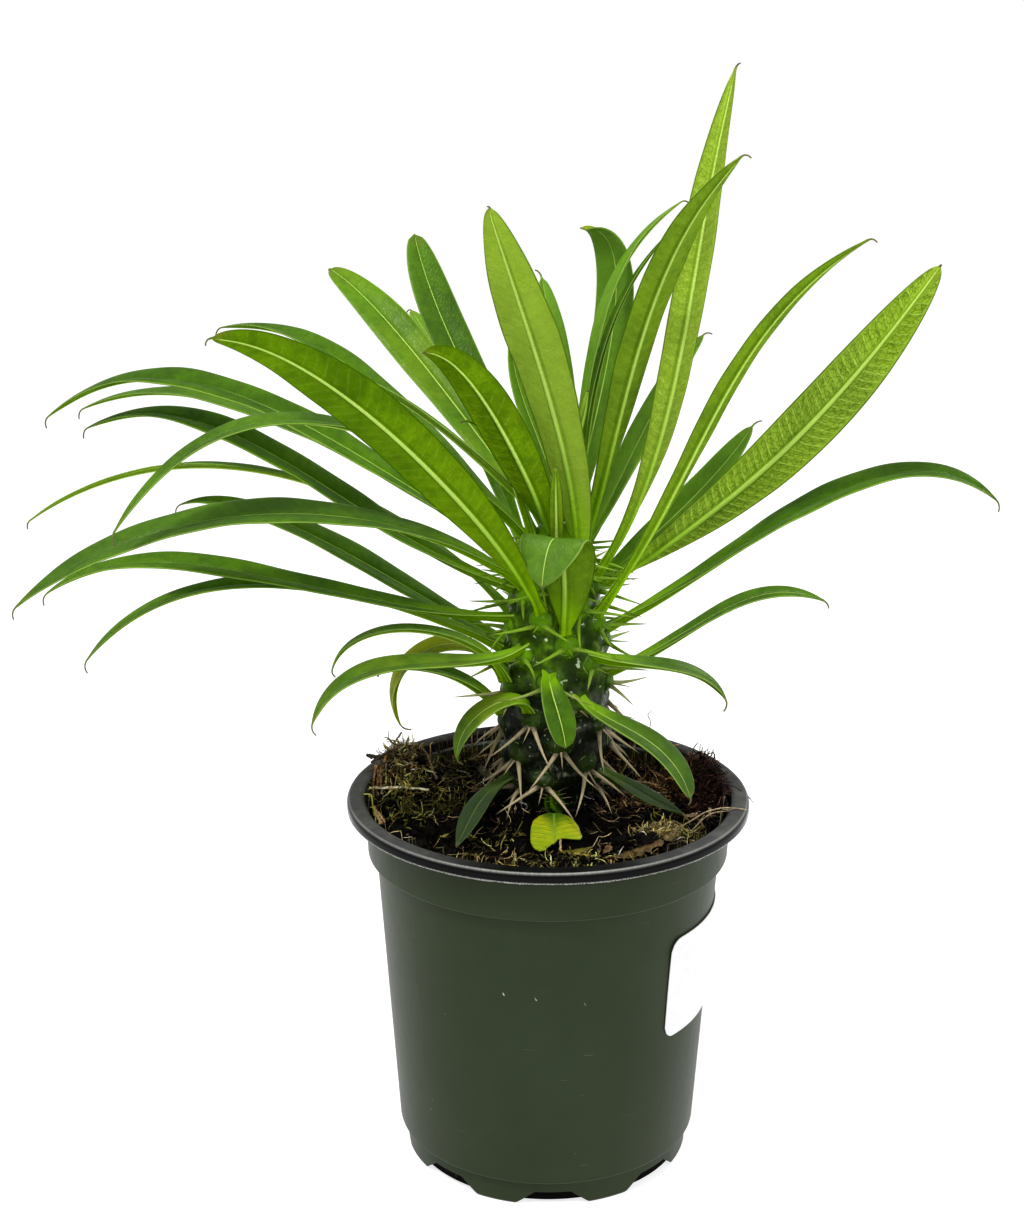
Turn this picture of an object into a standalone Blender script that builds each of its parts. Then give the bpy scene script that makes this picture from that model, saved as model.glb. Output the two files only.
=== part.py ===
"""A young Madagascar palm in its nursery pot.

The part stands on its pot: +Z is up and the origin is the centre of the pot's flat underside.
Sizes below are millimetres and degrees, and one factor turns them to metres when a mesh is made.
Azimuths run anticlockwise seen from above, from +X; 270 is the front.
"""

import math
from typing import NamedTuple

import bpy
import numpy as np

MM = 0.001
GAP = 0.35

# Pot: a six-inch round nursery pot, turned from one profile
LIP_RADIUS = 76.2
POT_HEIGHT = 145.0
LIP_DEPTH = 4.5
FLANGE_WIDTH = 5.4
WALL = 1.3
BAND_RADIUS = 68.9
BAND_HEIGHT = 123.0
BODY_TOP_RADIUS = 65.3
BODY_LOW_RADIUS = 57.8
FOOT_HEIGHT = 11.0
FOOT_RADIUS = 55.5
FLOOR = 1.5
POT_SIDES = 48

# Drain notches round the foot
NOTCHES = 8
NOTCH_WIDTH_LOW = 29.0
NOTCH_WIDTH_HIGH = 13.5
NOTCH_HEIGHT = 6.0
NOTCH_INNER_RADIUS = 48.0
NOTCH_TURN = 1.7

# Label: a blank sheet wrapped on the wall
LABEL_START = 313.8
LABEL_WIDTH = 70.0
LABEL_LOW = 63.9
LABEL_HIGH = 104.8
LABEL_CORNER = 5.0
LABEL_THICK = 0.6
LABEL_COLUMNS = 24

# Soil: domed to the stem, heaped with moss and coir at the wall
SOIL_AT_STEM = 141.0
SOIL_AT_WALL = 135.5
SOIL_HEAPS = (  # x, y, height, spread
    (-52.0, 27.0, 13.0, 13.0),
    (-60.0, 6.0, 5.0, 11.0),
    (59.0, 12.0, 14.0, 10.0),
    (38.0, -40.0, 6.0, 14.0),
    (10.0, -52.0, 3.0, 12.0),
    (-20.0, 45.0, 3.0, 16.0),
)
HOLE_DEPTH = 46.0

# Stem
STEM_X = 2.5
NECK_RADIUS = 11.5
STUMP_FOOT = 96.0
STEM_TOP = 252.5
STEM_PROFILE = (  # height, radius, up to the tip
    (141.0, 11.5),
    (148.0, 13.2),
    (155.0, 17.0),
    (163.0, 18.4),
    (175.0, 18.6),
    (190.0, 18.8),
    (204.0, 18.0),
    (216.0, 16.0),
    (228.0, 13.2),
    (238.0, 10.8),
    (246.0, 7.6),
    (250.5, 4.2),
    (252.5, 0.0),
)
STEM_SIDES = 40

# Tubercles: one golden-angle spiral from the neck to the growing tip
GOLDEN_ANGLE = 137.5
TUBERCLES = 64
TUBERCLE_START = 202.5
TUBERCLE_LOWEST = 150.5
TUBERCLE_STEP = 1.85
CROWDING_FROM = 26
CROWDING = 0.0125
TUBERCLE_RISE = 3.3
TUBERCLE_SIDE_SPREAD = 5.6
TUBERCLE_HIGH_SPREAD = 5.0

# Spines: two long and one short under each tubercle
SPINE_RADIUS = 1.0
SPINE_LONG = 19.0
SPINE_SHORT = 7.0
SPINE_LEAST = 0.45
SPINES_GROW_BELOW = 256.0
SPINES_GROWN_OVER = 15.0
OLD_BELOW = 185.0
OLD_DROOP = -38.0
YOUNG_DROOP = -6.0
SPINE_ROOT = 2.5
SPINE_SPREAD = 52.0
SPINE_CLEARANCE = 1.8
SPINE_REACH = 33.6
SPINELESS_TIP = 6

# Shoot: a small spiny bud at the foot of the stem, and its torn leaf lying on the soil
SHOOT_FOOT = (2.5, -10.6, 143.5)
SHOOT_TIP = (2.2, -15.6, 152.0)
SHOOT_RADIUS = 3.6
SHOOT_SIDES = 10
SHOOT_SPINES = 7
SHOOT_SPINE_LENGTH = 4.5
SHOOT_SPINE_RADIUS = 0.55
TORN_LEAF = (  # y, left edge x, right edge x
    (-16.4, 0.2, 3.6),
    (-18.0, -3.4, 6.6),
    (-20.5, -5.8, 9.4),
    (-24.0, -6.6, 11.0),
    (-29.0, -6.9, 12.0),
    (-31.5, -6.9, 11.0),
    (-32.5, -6.8, 3.4),
    (-35.0, -6.2, 1.6),
    (-38.0, -5.0, -0.4),
    (-39.6, -3.6, -2.2),
)
TORN_LEAF_LIFT = 0.9
TORN_LEAF_ARCH = 1.1

# Leaves


class Leaf(NamedTuple):
    """One leaf: where it starts, where its tip is, how it bends between them, and its blade.

    It leaves its tubercle straight out at the launch slope and arrives at its tip at the tip slope.
    The tip is placed by its azimuth and reach from the stem's axis and its height. The two handles
    are how far each end keeps its direction, as a share of the straight distance. The base and tip
    are the powers of the curves that open and close the blade: the smaller, the blunter.
    """

    tubercle: int
    launch: float
    azimuth: float
    reach: float
    height: float
    slope: float
    width: float
    turn: float = 0.0
    first_handle: float = 0.36
    last_handle: float = 0.36
    swing: float = 0.0
    widest: float = 0.6
    channel: float = 12.0
    base: float = 0.9
    tip: float = 0.7


LEAVES = {
    "leaf_01": Leaf(47, 34, 165, 202, 279, -38, 19, turn=8, first_handle=0.4),
    "leaf_02": Leaf(44, 12, 155, 209, 275, -26, 15, turn=5),
    "leaf_03": Leaf(39, 12, 163, 189, 274, -26, 18, turn=8),
    "leaf_04": Leaf(50, 46, 202, 161, 262, -55, 13, turn=5, first_handle=0.4, last_handle=0.55),
    "leaf_05": Leaf(31, 38, 166, 211, 238, -36, 9, turn=-8, last_handle=0.42),
    "leaf_06": Leaf(23, -5, 160, 155, 244, -22, 15, turn=10, last_handle=0.25),
    "leaf_07": Leaf(42, 38, 195, 193, 233, -38, 19, turn=12, first_handle=0.4),
    "leaf_08": Leaf(34, 3, 184, 185, 227, -36, 16, turn=8, last_handle=0.3),
    "leaf_09": Leaf(26, 26, 188, 171, 205, -52, 13, turn=3),
    "leaf_10": Leaf(37, 43, 222, 145, 333, 5, 19, turn=-50, first_handle=0.3, last_handle=0.24, tip=0.5),
    "leaf_11": Leaf(52, 34, 150, 150, 310, -12, 16),
    "leaf_12": Leaf(60, 40, 170, 76, 303, 22, 9, turn=-15),
    "leaf_13": Leaf(57, 22, 135, 124, 331, 18, 16, turn=28, last_handle=0.25, widest=0.68, tip=0.42),
    "leaf_14": Leaf(49, 24, 121, 106, 344, 66, 16, turn=15, widest=0.76, tip=0.4),
    "leaf_15": Leaf(36, 42, 117, 126, 311, 25, 11, widest=0.7, tip=0.45),
    "leaf_16": Leaf(
        58, 26, 215, 56, 318, 0, 16, turn=-50, first_handle=0.3, last_handle=0.24, base=0.7, tip=0.5
    ),
    "leaf_17": Leaf(62, 48, 130, 25, 317, 95, 8),
    "leaf_18": Leaf(
        48, 92, 247, 59, 368, 62, 23, first_handle=0.26, widest=0.66, channel=4, base=0.6, tip=0.55
    ),
    "leaf_19": Leaf(54, 80, 105, 20, 336, 70, 12, tip=0.45),
    "leaf_20": Leaf(
        41, 40, 71.5, 28.5, 353, -5, 15, first_handle=0.4, last_handle=0.24, swing=118, widest=0.76, tip=0.36
    ),
    "leaf_21": Leaf(59, 78, 38, 58, 362, 24, 9, turn=20, first_handle=0.55),
    "leaf_22": Leaf(56, 84, 25, 45, 353, 38, 6, turn=20, first_handle=0.45),
    "leaf_23": Leaf(43, 52, 349, 60, 410, 76, 14, turn=50, first_handle=0.3),
    "leaf_24": Leaf(51, 70, 318, 77, 384, 38, 15, turn=10, first_handle=0.3),
    "leaf_25": Leaf(46, 42, 40, 73, 311, 40, 13, tip=0.5),
    "leaf_26": Leaf(35, 52, 323, 120, 360, 30, 9, turn=20),
    "leaf_27": Leaf(33, 14, 20, 78, 280, 57, 13, turn=-30, first_handle=0.3, widest=0.66, tip=0.5),
    "leaf_28": Leaf(38, 20, 330, 138, 351, 56, 18.6, turn=70, channel=8, base=0.8, tip=0.5),
    "leaf_29": Leaf(30, 22, 346, 155, 268, -38, 16, turn=-15, last_handle=0.33),
    "leaf_30": Leaf(22, 18, 345, 98, 228, -20, 9, turn=-18),
    "leaf_31": Leaf(27, -4, 342, 65, 189, -60, 12),
    "leaf_32": Leaf(
        32, 80, 261, 37, 236, -80, 25, first_handle=1.32, last_handle=0.9, widest=0.66, channel=2
    ),
    "leaf_33": Leaf(24, -10, 275, 36, 176, -75, 10, widest=0.66, tip=0.42),
    "leaf_34": Leaf(16, 55, 210, 42, 166, -95, 9, turn=25, first_handle=0.5, last_handle=0.5),
    "leaf_35": Leaf(19, -18, 314, 68, 162, -68, 13, last_handle=0.45, widest=0.66, tip=0.45),
    "leaf_36": Leaf(1, -20, 328, 54, 148, -5, 8),
    "leaf_37": Leaf(0, -25, 230, 56, 141, -35, 8),
    "leaf_39": Leaf(21, 62, 185, 83, 196, -75, 8, first_handle=0.45),
    "leaf_40": Leaf(29, -15, 205, 96, 187, -67, 16, last_handle=0.42),
    "leaf_41": Leaf(18, 58, 170, 60, 168, -116, 12, turn=15, first_handle=0.7, last_handle=0.6),
    "leaf_42": Leaf(13, 55, 178, 64, 193, -15, 10),
    "leaf_43": Leaf(28, 20, 93, 118, 204, -40, 16),
    "leaf_44": Leaf(20, 20, 80, 104, 184, -45, 16),
    "leaf_45": Leaf(15, 15, 102, 92, 172, -50, 15),
    "leaf_46": Leaf(7, 15, 86, 76, 158, -50, 13),
    "leaf_47": Leaf(55, 62, 172, 33, 287, 8, 6, turn=-20),
    "leaf_48": Leaf(63, 85, 250, 7, 281, 85, 4),
    "leaf_49": Leaf(61, 84, 318, 14, 300, 78, 6),
    "leaf_50": Leaf(45, 68, 268, 25, 276, 70, 4.2),
}
LEAF_STATIONS = 11
FOOT_RISE = 4.0
PETIOLE_HALF = 1.5
EDGE_THICK = 0.7
RIB_THICK = 1.5
HOOK_LENGTH = 6.5
HOOK_BEND = 75.0
HOOK_HALF = 0.45


def unit(vectors):
    """Vectors along the last axis, each made one long."""
    return vectors / np.linalg.norm(vectors, axis=-1, keepdims=True)


def heading(azimuth, slope=0.0):
    """The direction at an azimuth and a slope above level, both in degrees."""
    a, s = math.radians(azimuth), math.radians(slope)
    return np.array([math.cos(a) * math.cos(s), math.sin(a) * math.cos(s), math.sin(s)])


# ---------------------------------------------------------------- meshes


def loft(rings, flip_from=None):
    """(points, triangles) of rings of equal count joined in order, each end closed by a fan.

    From ring point flip_from on, the strips are split the other way, so that a blade's upper and
    lower faces are split alike.
    """
    count, sides = rings.shape[:2]
    j, i = np.meshgrid(np.arange(count - 1), np.arange(sides), indexing="ij")
    a, b = j * sides + i, j * sides + (i + 1) % sides
    c, d = b + sides, a + sides
    one = np.stack([a, b, c, a, c, d], -1).reshape(-1, sides, 2, 3)
    other = np.stack([a, b, d, b, c, d], -1).reshape(-1, sides, 2, 3)
    if flip_from is not None:
        one[:, flip_from:] = other[:, flip_from:]
    side_faces = one.reshape(-1, 3)
    middle = np.arange(1, sides - 1)
    first = np.stack([np.zeros_like(middle), middle + 1, middle], -1)
    last = np.stack([np.zeros_like(middle), middle, middle + 1], -1) + (count - 1) * sides
    return rings.reshape(-1, 3), np.concatenate([side_faces, first, last])


def lathe(profile, sides, centre=(0.0, 0.0)):
    """(points, triangles) turned about Z from a profile (radius, height) that ends on the axis twice."""
    profile = np.asarray(profile, float)
    angle = 2 * np.pi * np.arange(sides) / sides
    ring = np.stack([np.cos(angle), np.sin(angle)], -1)
    body = profile[1:-1]
    points = np.concatenate(
        [
            np.concatenate([r * ring, np.full((sides, 1), z)], 1)
            for r, z in body
        ]
        + [[[0.0, 0.0, profile[0, 1]]], [[0.0, 0.0, profile[-1, 1]]]]
    )
    points[:, :2] += centre
    i = np.arange(sides)
    nxt = (i + 1) % sides
    faces = []
    for k in range(len(body) - 1):
        a, b, c, d = k * sides + i, k * sides + nxt, (k + 1) * sides + nxt, (k + 1) * sides + i
        faces += [np.stack([a, b, c], -1), np.stack([a, c, d], -1)]
    start, end = len(body) * sides, len(body) * sides + 1
    last = (len(body) - 1) * sides
    faces += [np.stack([np.full(sides, start), nxt, i], -1)]
    faces += [np.stack([np.full(sides, end), last + i, last + nxt], -1)]
    return points, np.concatenate(faces)


# ---------------------------------------------------------------- the stem's own surface


def tubercle(number):
    """(azimuth, height) of one tubercle on the spiral; they crowd together towards the tip."""
    crowded = max(0, number - CROWDING_FROM)
    height = TUBERCLE_LOWEST + TUBERCLE_STEP * number - CROWDING * crowded**2
    return (TUBERCLE_START + GOLDEN_ANGLE * number) % 360, height


def profile_radius(height):
    """The stem's radius without its tubercles."""
    heights, radii = np.array(STEM_PROFILE).T
    return np.interp(height, heights, radii, left=NECK_RADIUS, right=0.0)


def stem_radius(azimuth, height):
    """The stem's radius with its tubercles: round bosses that fade where the tip closes."""
    azimuth, height = np.broadcast_arrays(np.radians(azimuth), np.asarray(height, float))
    radius = profile_radius(height)
    rise = np.zeros_like(radius)
    for number in range(TUBERCLES):
        side, at = tubercle(number)
        turn = (azimuth - math.radians(side) + np.pi) % (2 * np.pi) - np.pi
        across = turn * np.maximum(radius, 6.0) / TUBERCLE_SIDE_SPREAD
        along = (height - at) / TUBERCLE_HIGH_SPREAD
        rise = np.maximum(rise, np.exp(-(across**2) - along**2))
    fade = np.clip((STEM_TOP - height) / 14.0, 0, 1) * np.clip((height - 143.0) / 8.0, 0, 1)
    return radius + TUBERCLE_RISE * rise * fade


def on_stem(azimuth, height, outward=0.0):
    """The point on the stem's surface, or outward of it."""
    radius = float(stem_radius(azimuth, height)) + outward
    return np.array([STEM_X, 0.0, height]) + radius * heading(azimuth)


# ---------------------------------------------------------------- leaves


def bezier(p0, p1, p2, p3, t):
    t = t[:, None]
    return (1 - t) ** 3 * p0 + 3 * (1 - t) ** 2 * t * p1 + 3 * (1 - t) * t**2 * p2 + t**3 * p3


def leaf_line(leaf, foot_off, count=120):
    """Points along a leaf's rib, a cubic from its tubercle to its tip, evenly spaced, and its azimuth."""
    side, low = tubercle(leaf.tubercle)
    start = on_stem(side, low + FOOT_RISE, foot_off)
    end = np.array([STEM_X, 0.0, leaf.height]) + leaf.reach * heading(leaf.azimuth)
    across = end - start
    span = np.linalg.norm(across)
    toward = math.degrees(math.atan2(across[1], across[0]))
    out = start + leaf.first_handle * span * heading(side, leaf.launch)
    back = end - leaf.last_handle * span * heading(toward + leaf.swing, leaf.slope)
    dense = bezier(start, out, back, end, np.linspace(0, 1, 400))
    gone = np.concatenate([[0], np.cumsum(np.linalg.norm(np.diff(dense, axis=0), axis=1))])
    even = np.linspace(0, gone[-1], count)
    return np.stack([np.interp(even, gone, dense[:, k]) for k in range(3)], -1), toward


def leaf_frame(line, toward, turn):
    """Along, across and upward directions at each point of a leaf's rib, turned about it by turn."""
    along = unit(np.gradient(line, axis=0))
    level = np.cross(heading(toward), [0.0, 0.0, 1.0])
    across = unit(level - (along @ level)[:, None] * along)
    upward = np.cross(across, along)
    share = np.linspace(0, 1, len(line))
    angle = np.radians(turn) * np.sin(np.pi / 2 * np.clip(share / 0.35, 0, 1))[:, None]
    return (
        along,
        across * np.cos(angle) + upward * np.sin(angle),
        upward * np.cos(angle) - across * np.sin(angle),
    )


def blade_half(share, leaf):
    """Half the blade's width: a slim stalk, widest past the middle, closing to a point."""
    opening = np.sin(np.pi / 2 * np.clip(share / leaf.widest, 0, 1)) ** leaf.base
    closing = np.cos(np.pi / 2 * np.clip((share - leaf.widest) / (1 - leaf.widest), 0, 1)) ** leaf.tip
    stalk = PETIOLE_HALF * (1 - share) + HOOK_HALF * share
    return np.maximum(stalk, leaf.width / 2 * opening * closing)


def leaf_rings(leaf, foot_off):
    """The six-cornered sections of a leaf, from its foot to the end of its hooked tip."""
    line, toward = leaf_line(leaf, foot_off)
    along, across, upward = leaf_frame(line, toward, leaf.turn)
    share = np.linspace(0, 1, len(line))
    wanted = 1 - (1 - np.linspace(0, 1, LEAF_STATIONS)) ** 1.25
    pick = np.rint(wanted * (len(line) - 1)).astype(int)
    points, half = line[pick], blade_half(share[pick], leaf)
    sides, ups = across[pick], upward[pick]
    for bend, gone in ((HOOK_BEND * 0.4, 0.55), (HOOK_BEND, 1.0)):
        b = math.radians(bend)
        reach = (along[-1] * math.cos(b / 2) - upward[-1] * math.sin(b / 2)) * HOOK_LENGTH * gone
        points = np.vstack([points, line[-1] + reach * min(1.0, leaf.width / 12)])
        sides = np.vstack([sides, across[-1]])
        ups = np.vstack([ups, upward[-1] * math.cos(b) + along[-1] * math.sin(b)])
        half = np.append(half, HOOK_HALF)
    lift = half * math.tan(math.radians(leaf.channel))
    rib = EDGE_THICK + (RIB_THICK - EDGE_THICK) * np.clip(half / 3, 0, 1)
    low = lift - EDGE_THICK
    corners = (  # across, upward: the upper face from left to right, then the lower face back
        (-half, lift),
        (0 * half, 0 * half),
        (half, lift),
        (half, low),
        (0 * half, -rib),
        (-half, low),
    )
    return np.stack([points + sides * a[:, None] + ups * u[:, None] for a, u in corners], 1)


def clear_of_stem(rings):
    """How far the first sections of a leaf stand off the stem's surface, at the least."""
    near = rings[:3].reshape(-1, 3) - [STEM_X, 0.0, 0.0]
    azimuth = np.degrees(np.arctan2(near[:, 1], near[:, 0]))
    return float((np.hypot(near[:, 0], near[:, 1]) - stem_radius(azimuth, near[:, 2])).min())


def settled_leaf(row):
    """A leaf's sections, its foot moved out until it stands just clear of the stem."""
    off = GAP
    for _ in range(6):
        rings = leaf_rings(row, off)
        off += (GAP + 0.15) - clear_of_stem(rings)
    return leaf_rings(row, off)


# ---------------------------------------------------------------- spines


def leaf_cloud(leaves):
    """Points spread over every leaf, which the spines keep clear of."""
    cloud = []
    for rings in leaves.values():
        for lower, upper in zip(rings[:-1], rings[1:]):
            for share in np.linspace(0, 1, 9):
                cloud.append(lower + (upper - lower) * share)
    cloud = np.concatenate(cloud)
    return np.concatenate([cloud, (cloud[:-1] + cloud[1:]) / 2])


def spine_directions(side, height):
    """Candidate directions for a tubercle's spines, the natural one first: (long pair, short one)."""
    droop = OLD_DROOP if height < OLD_BELOW else YOUNG_DROOP
    for extra in (0, -12, 12, -24, 24, -36, 36, -48, 48, 60):
        for swing in (0, 10, -10, 20, -20):
            yield droop + extra, swing


def spines(leaves):
    """(root, tip, tubercle) of every spine: a spread pair and a short one, tilted clear of the leaves."""
    cloud = leaf_cloud(leaves)
    found = []
    for number in range(TUBERCLES - SPINELESS_TIP):
        side, height = tubercle(number)
        grown = float(np.clip((SPINES_GROW_BELOW - height) / SPINES_GROWN_OVER, SPINE_LEAST, 1))
        root = on_stem(side, height - 1.5, -SPINE_ROOT)
        near = cloud[np.linalg.norm(cloud - root, axis=1) < SPINE_REACH]
        for spread, length in ((SPINE_SPREAD, SPINE_LONG), (-SPINE_SPREAD, SPINE_LONG), (0, SPINE_SHORT)):
            for slope, swing in spine_directions(side, height):
                way = heading(side + spread + swing, slope)
                tip = root + way * (length * grown + SPINE_ROOT)
                path = root + (tip - root) * np.linspace(0.15, 1.05, 16)[:, None]
                gaps = np.linalg.norm(near[None] - path[:, None], axis=2)
                low = tip[2] > SOIL_AT_STEM + 1.5
                if low and (not len(near) or gaps.min() > SPINE_CLEARANCE):
                    found.append((root, tip, number))
                    break
    return found


def spike(root, tip, radius, sides=3):
    """(points, triangles) of a pointed spine."""
    way = unit(tip - root)
    level = unit(np.cross(way, [0.0, 0.0, 1.0] if abs(way[2]) < 0.9 else [1.0, 0.0, 0.0]))
    other = np.cross(way, level)
    angle = 2 * np.pi * np.arange(sides) / sides
    ring = root + radius * (np.cos(angle)[:, None] * level + np.sin(angle)[:, None] * other)
    points = np.vstack([ring, tip])
    i = np.arange(sides)
    nxt = (i + 1) % sides
    flanks = np.stack([nxt, i, np.full(sides, sides)], -1)
    base = np.stack([np.zeros(sides - 2, int), i[1:-1], i[2:]], -1)
    return points, np.concatenate([flanks, base])


# ---------------------------------------------------------------- Blender objects


def material(name, colour, roughness):
    made = bpy.data.materials.new(name)
    made.use_nodes = True
    shader = made.node_tree.nodes["Principled BSDF"]
    shader.inputs["Base Color"].default_value = (*colour, 1.0)
    shader.inputs["Roughness"].default_value = roughness
    shader.inputs["Metallic"].default_value = 0.0
    return made


def add(name, points, faces, look=None, smooth=False):
    """A mesh object from points in millimetres."""
    mesh = bpy.data.meshes.new(name)
    mesh.from_pydata((np.asarray(points) * MM).tolist(), [], np.asarray(faces).tolist())
    mesh.validate()
    if smooth:
        mesh.shade_smooth()
    made = bpy.data.objects.new(name, mesh)
    bpy.context.scene.collection.objects.link(made)
    if look:
        mesh.materials.append(look)
    return made


def merged(pieces):
    """(points, faces) of several pieces kept apart in one mesh."""
    points, faces, base = [], [], 0
    for piece_points, piece_faces in pieces:
        points.append(piece_points)
        faces.append(np.asarray(piece_faces) + base)
        base += len(piece_points)
    return np.concatenate(points), np.concatenate(faces)


def apply_boolean(target, operation, other=None, collection=None):
    """One exact Boolean, applied, and what it used removed."""
    step = target.modifiers.new(operation.lower(), "BOOLEAN")
    step.operation = operation
    step.solver = "EXACT"
    if collection:
        step.operand_type = "COLLECTION"
        step.collection = collection
    else:
        step.object = other
    with bpy.context.temp_override(object=target, active_object=target, selected_objects=[target]):
        bpy.ops.object.modifier_apply(modifier=step.name)
    for used in list(collection.objects) if collection else [other]:
        bpy.data.objects.remove(used, do_unlink=True)


def build_pot():
    """The turned pot, then its notches cut through the foot."""
    inner = BAND_RADIUS - WALL
    top = POT_HEIGHT
    under = POT_HEIGHT - LIP_DEPTH
    outside = (
        (0.0, 0.0),
        (FOOT_RADIUS - 1.2, 0.0),
        (FOOT_RADIUS - 0.4, 0.8),
        (FOOT_RADIUS, FOOT_HEIGHT - 0.8),
        (BODY_LOW_RADIUS, FOOT_HEIGHT),
        (BODY_TOP_RADIUS, BAND_HEIGHT - 0.6),
        (BAND_RADIUS - 0.4, BAND_HEIGHT),
        (BAND_RADIUS + 0.3, top - 3.0),
        (BAND_RADIUS + 1.5, top - 1.5),
        (LIP_RADIUS - 1.2, top - 1.4),
        (LIP_RADIUS - 1.2, under),
        (LIP_RADIUS, under),
        (LIP_RADIUS, top - 1.9),
        (LIP_RADIUS - 0.6, top - 0.5),
        (LIP_RADIUS - 2.0, top),
        (LIP_RADIUS - FLANGE_WIDTH, top),
    )
    inside = (
        (BAND_RADIUS + 0.7, top - 0.8),
        (BAND_RADIUS - 0.4, top - 2.4),
        (inner + 0.4, top - 4.6),
        (inner - 0.2, BAND_HEIGHT + 0.9),
        (BODY_TOP_RADIUS - WALL, BAND_HEIGHT - 0.8),
        (BODY_LOW_RADIUS - WALL, FOOT_HEIGHT + 0.5),
        (FOOT_RADIUS - WALL - 0.2, FOOT_HEIGHT - 1.0),
        (FOOT_RADIUS - WALL - 0.4, FLOOR),
        (0.0, FLOOR),
    )
    points, faces = lathe(outside + inside, POT_SIDES)
    look = material("pot plastic", (0.028, 0.04, 0.022), 0.42)
    pot = add("pot", points, faces, look, smooth=True)
    notches = []
    for index in range(NOTCHES):
        azimuth = 270 + NOTCH_TURN + index * 360 / NOTCHES
        out, side = heading(azimuth), heading(azimuth + 90)
        up = np.array([0.0, 0.0, 1.0])
        slant = (NOTCH_WIDTH_LOW - NOTCH_WIDTH_HIGH) / 2 / NOTCH_HEIGHT
        low, high = NOTCH_WIDTH_LOW / 2 + slant, NOTCH_WIDTH_HIGH / 2
        corners = ((-low, -1.0), (low, -1.0), (high, NOTCH_HEIGHT), (-high, NOTCH_HEIGHT))
        ring = np.array([side * a + up * z for a, z in corners])
        rings = np.stack([ring + out * NOTCH_INNER_RADIUS, ring + out * (FOOT_RADIUS + 6)])
        notches.append(loft(rings))
    cutter = add("notches", *merged(notches))
    apply_boolean(pot, "DIFFERENCE", other=cutter)
    return pot


def build_label():
    """A blank sheet with rounded corners, wrapped a fraction clear of the wall."""
    columns = np.linspace(0, 1, LABEL_COLUMNS + 1)
    along = columns * LABEL_WIDTH
    edge = np.minimum(along, LABEL_WIDTH - along)
    short = np.clip(LABEL_CORNER - edge, 0, LABEL_CORNER)
    inset = LABEL_CORNER - np.sqrt(LABEL_CORNER**2 - short**2)
    inset = np.minimum(inset, LABEL_CORNER - 0.4)
    low, high = LABEL_LOW + inset, LABEL_HIGH - inset
    slope = (BODY_TOP_RADIUS - BODY_LOW_RADIUS) / (BAND_HEIGHT - FOOT_HEIGHT)
    azimuth = np.radians(LABEL_START + np.degrees(along / 62.0))
    rings = []
    for a, z0, z1 in zip(azimuth, low, high):
        out = np.array([math.cos(a), math.sin(a), 0.0])
        ring = []
        for z, thick in ((z0, 0.0), (z1, 0.0), (z1, LABEL_THICK), (z0, LABEL_THICK)):
            r = BODY_LOW_RADIUS + slope * (z - FOOT_HEIGHT) + GAP + thick
            ring.append(out * r + [0.0, 0.0, z])
        rings.append(ring)
    points, faces = loft(np.array(rings), flip_from=2)
    add("label", points, faces, material("label paper", (0.86, 0.87, 0.88), 0.5))


def soil_height(x, y):
    """The soil's surface: domed to the stem, with its heaps."""
    away = np.hypot(x - STEM_X, y)
    dome = np.clip((44.0 - away) / 30.0, 0, 1)
    height = SOIL_AT_WALL + (SOIL_AT_STEM - SOIL_AT_WALL) * dome * dome * (3 - 2 * dome)
    for hx, hy, rise, spread in SOIL_HEAPS:
        height = height + rise * np.exp(-((x - hx) ** 2 + (y - hy) ** 2) / spread**2)
    return height


def build_soil():
    """The soil fills the pot just clear of its wall, with a plain hole for the stem."""
    inner = np.array(
        [
            (FOOT_RADIUS - WALL - 0.4, FLOOR),
            (FOOT_RADIUS - WALL - 0.2, FOOT_HEIGHT - 1.0),
            (BODY_LOW_RADIUS - WALL, FOOT_HEIGHT + 0.5),
            (BODY_TOP_RADIUS - WALL, BAND_HEIGHT - 0.8),
            (BAND_RADIUS - WALL - 0.2, BAND_HEIGHT + 0.9),
        ]
    )
    inner[:, 0] -= GAP + 0.1
    inner[:, 1] += (GAP, 0.1, 0.2, 0.4, 0.4)
    sides = POT_SIDES
    angle = 2 * np.pi * np.arange(sides) / sides
    ring = np.stack([np.cos(angle), np.sin(angle)], -1)
    centre = np.array([STEM_X, 0.0])
    wall_top = BAND_RADIUS - WALL + 0.2 - GAP - 0.1
    hole = NECK_RADIUS + GAP + 0.05
    points = [np.concatenate([r * ring, np.full((sides, 1), z)], 1) for r, z in inner]
    edge = wall_top * ring
    for share in (1.0, 0.9, 0.78, 0.64, 0.48, 0.3, 0.12, 0.0):
        flat = centre + hole * ring + share * (edge - centre - hole * ring)
        height = soil_height(flat[:, 0], flat[:, 1])
        if share == 1.0:
            height = np.minimum(height, POT_HEIGHT - 5.0)
        points.append(np.concatenate([flat, height[:, None]], 1))
    floor = np.full((sides, 1), SOIL_AT_STEM - HOLE_DEPTH)
    points.append(np.concatenate([centre + hole * ring, floor], 1))
    rings = np.array(points)
    points, faces = loft(rings)
    add("soil", points, faces, material("potting soil", (0.016, 0.012, 0.008), 0.95))


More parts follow.
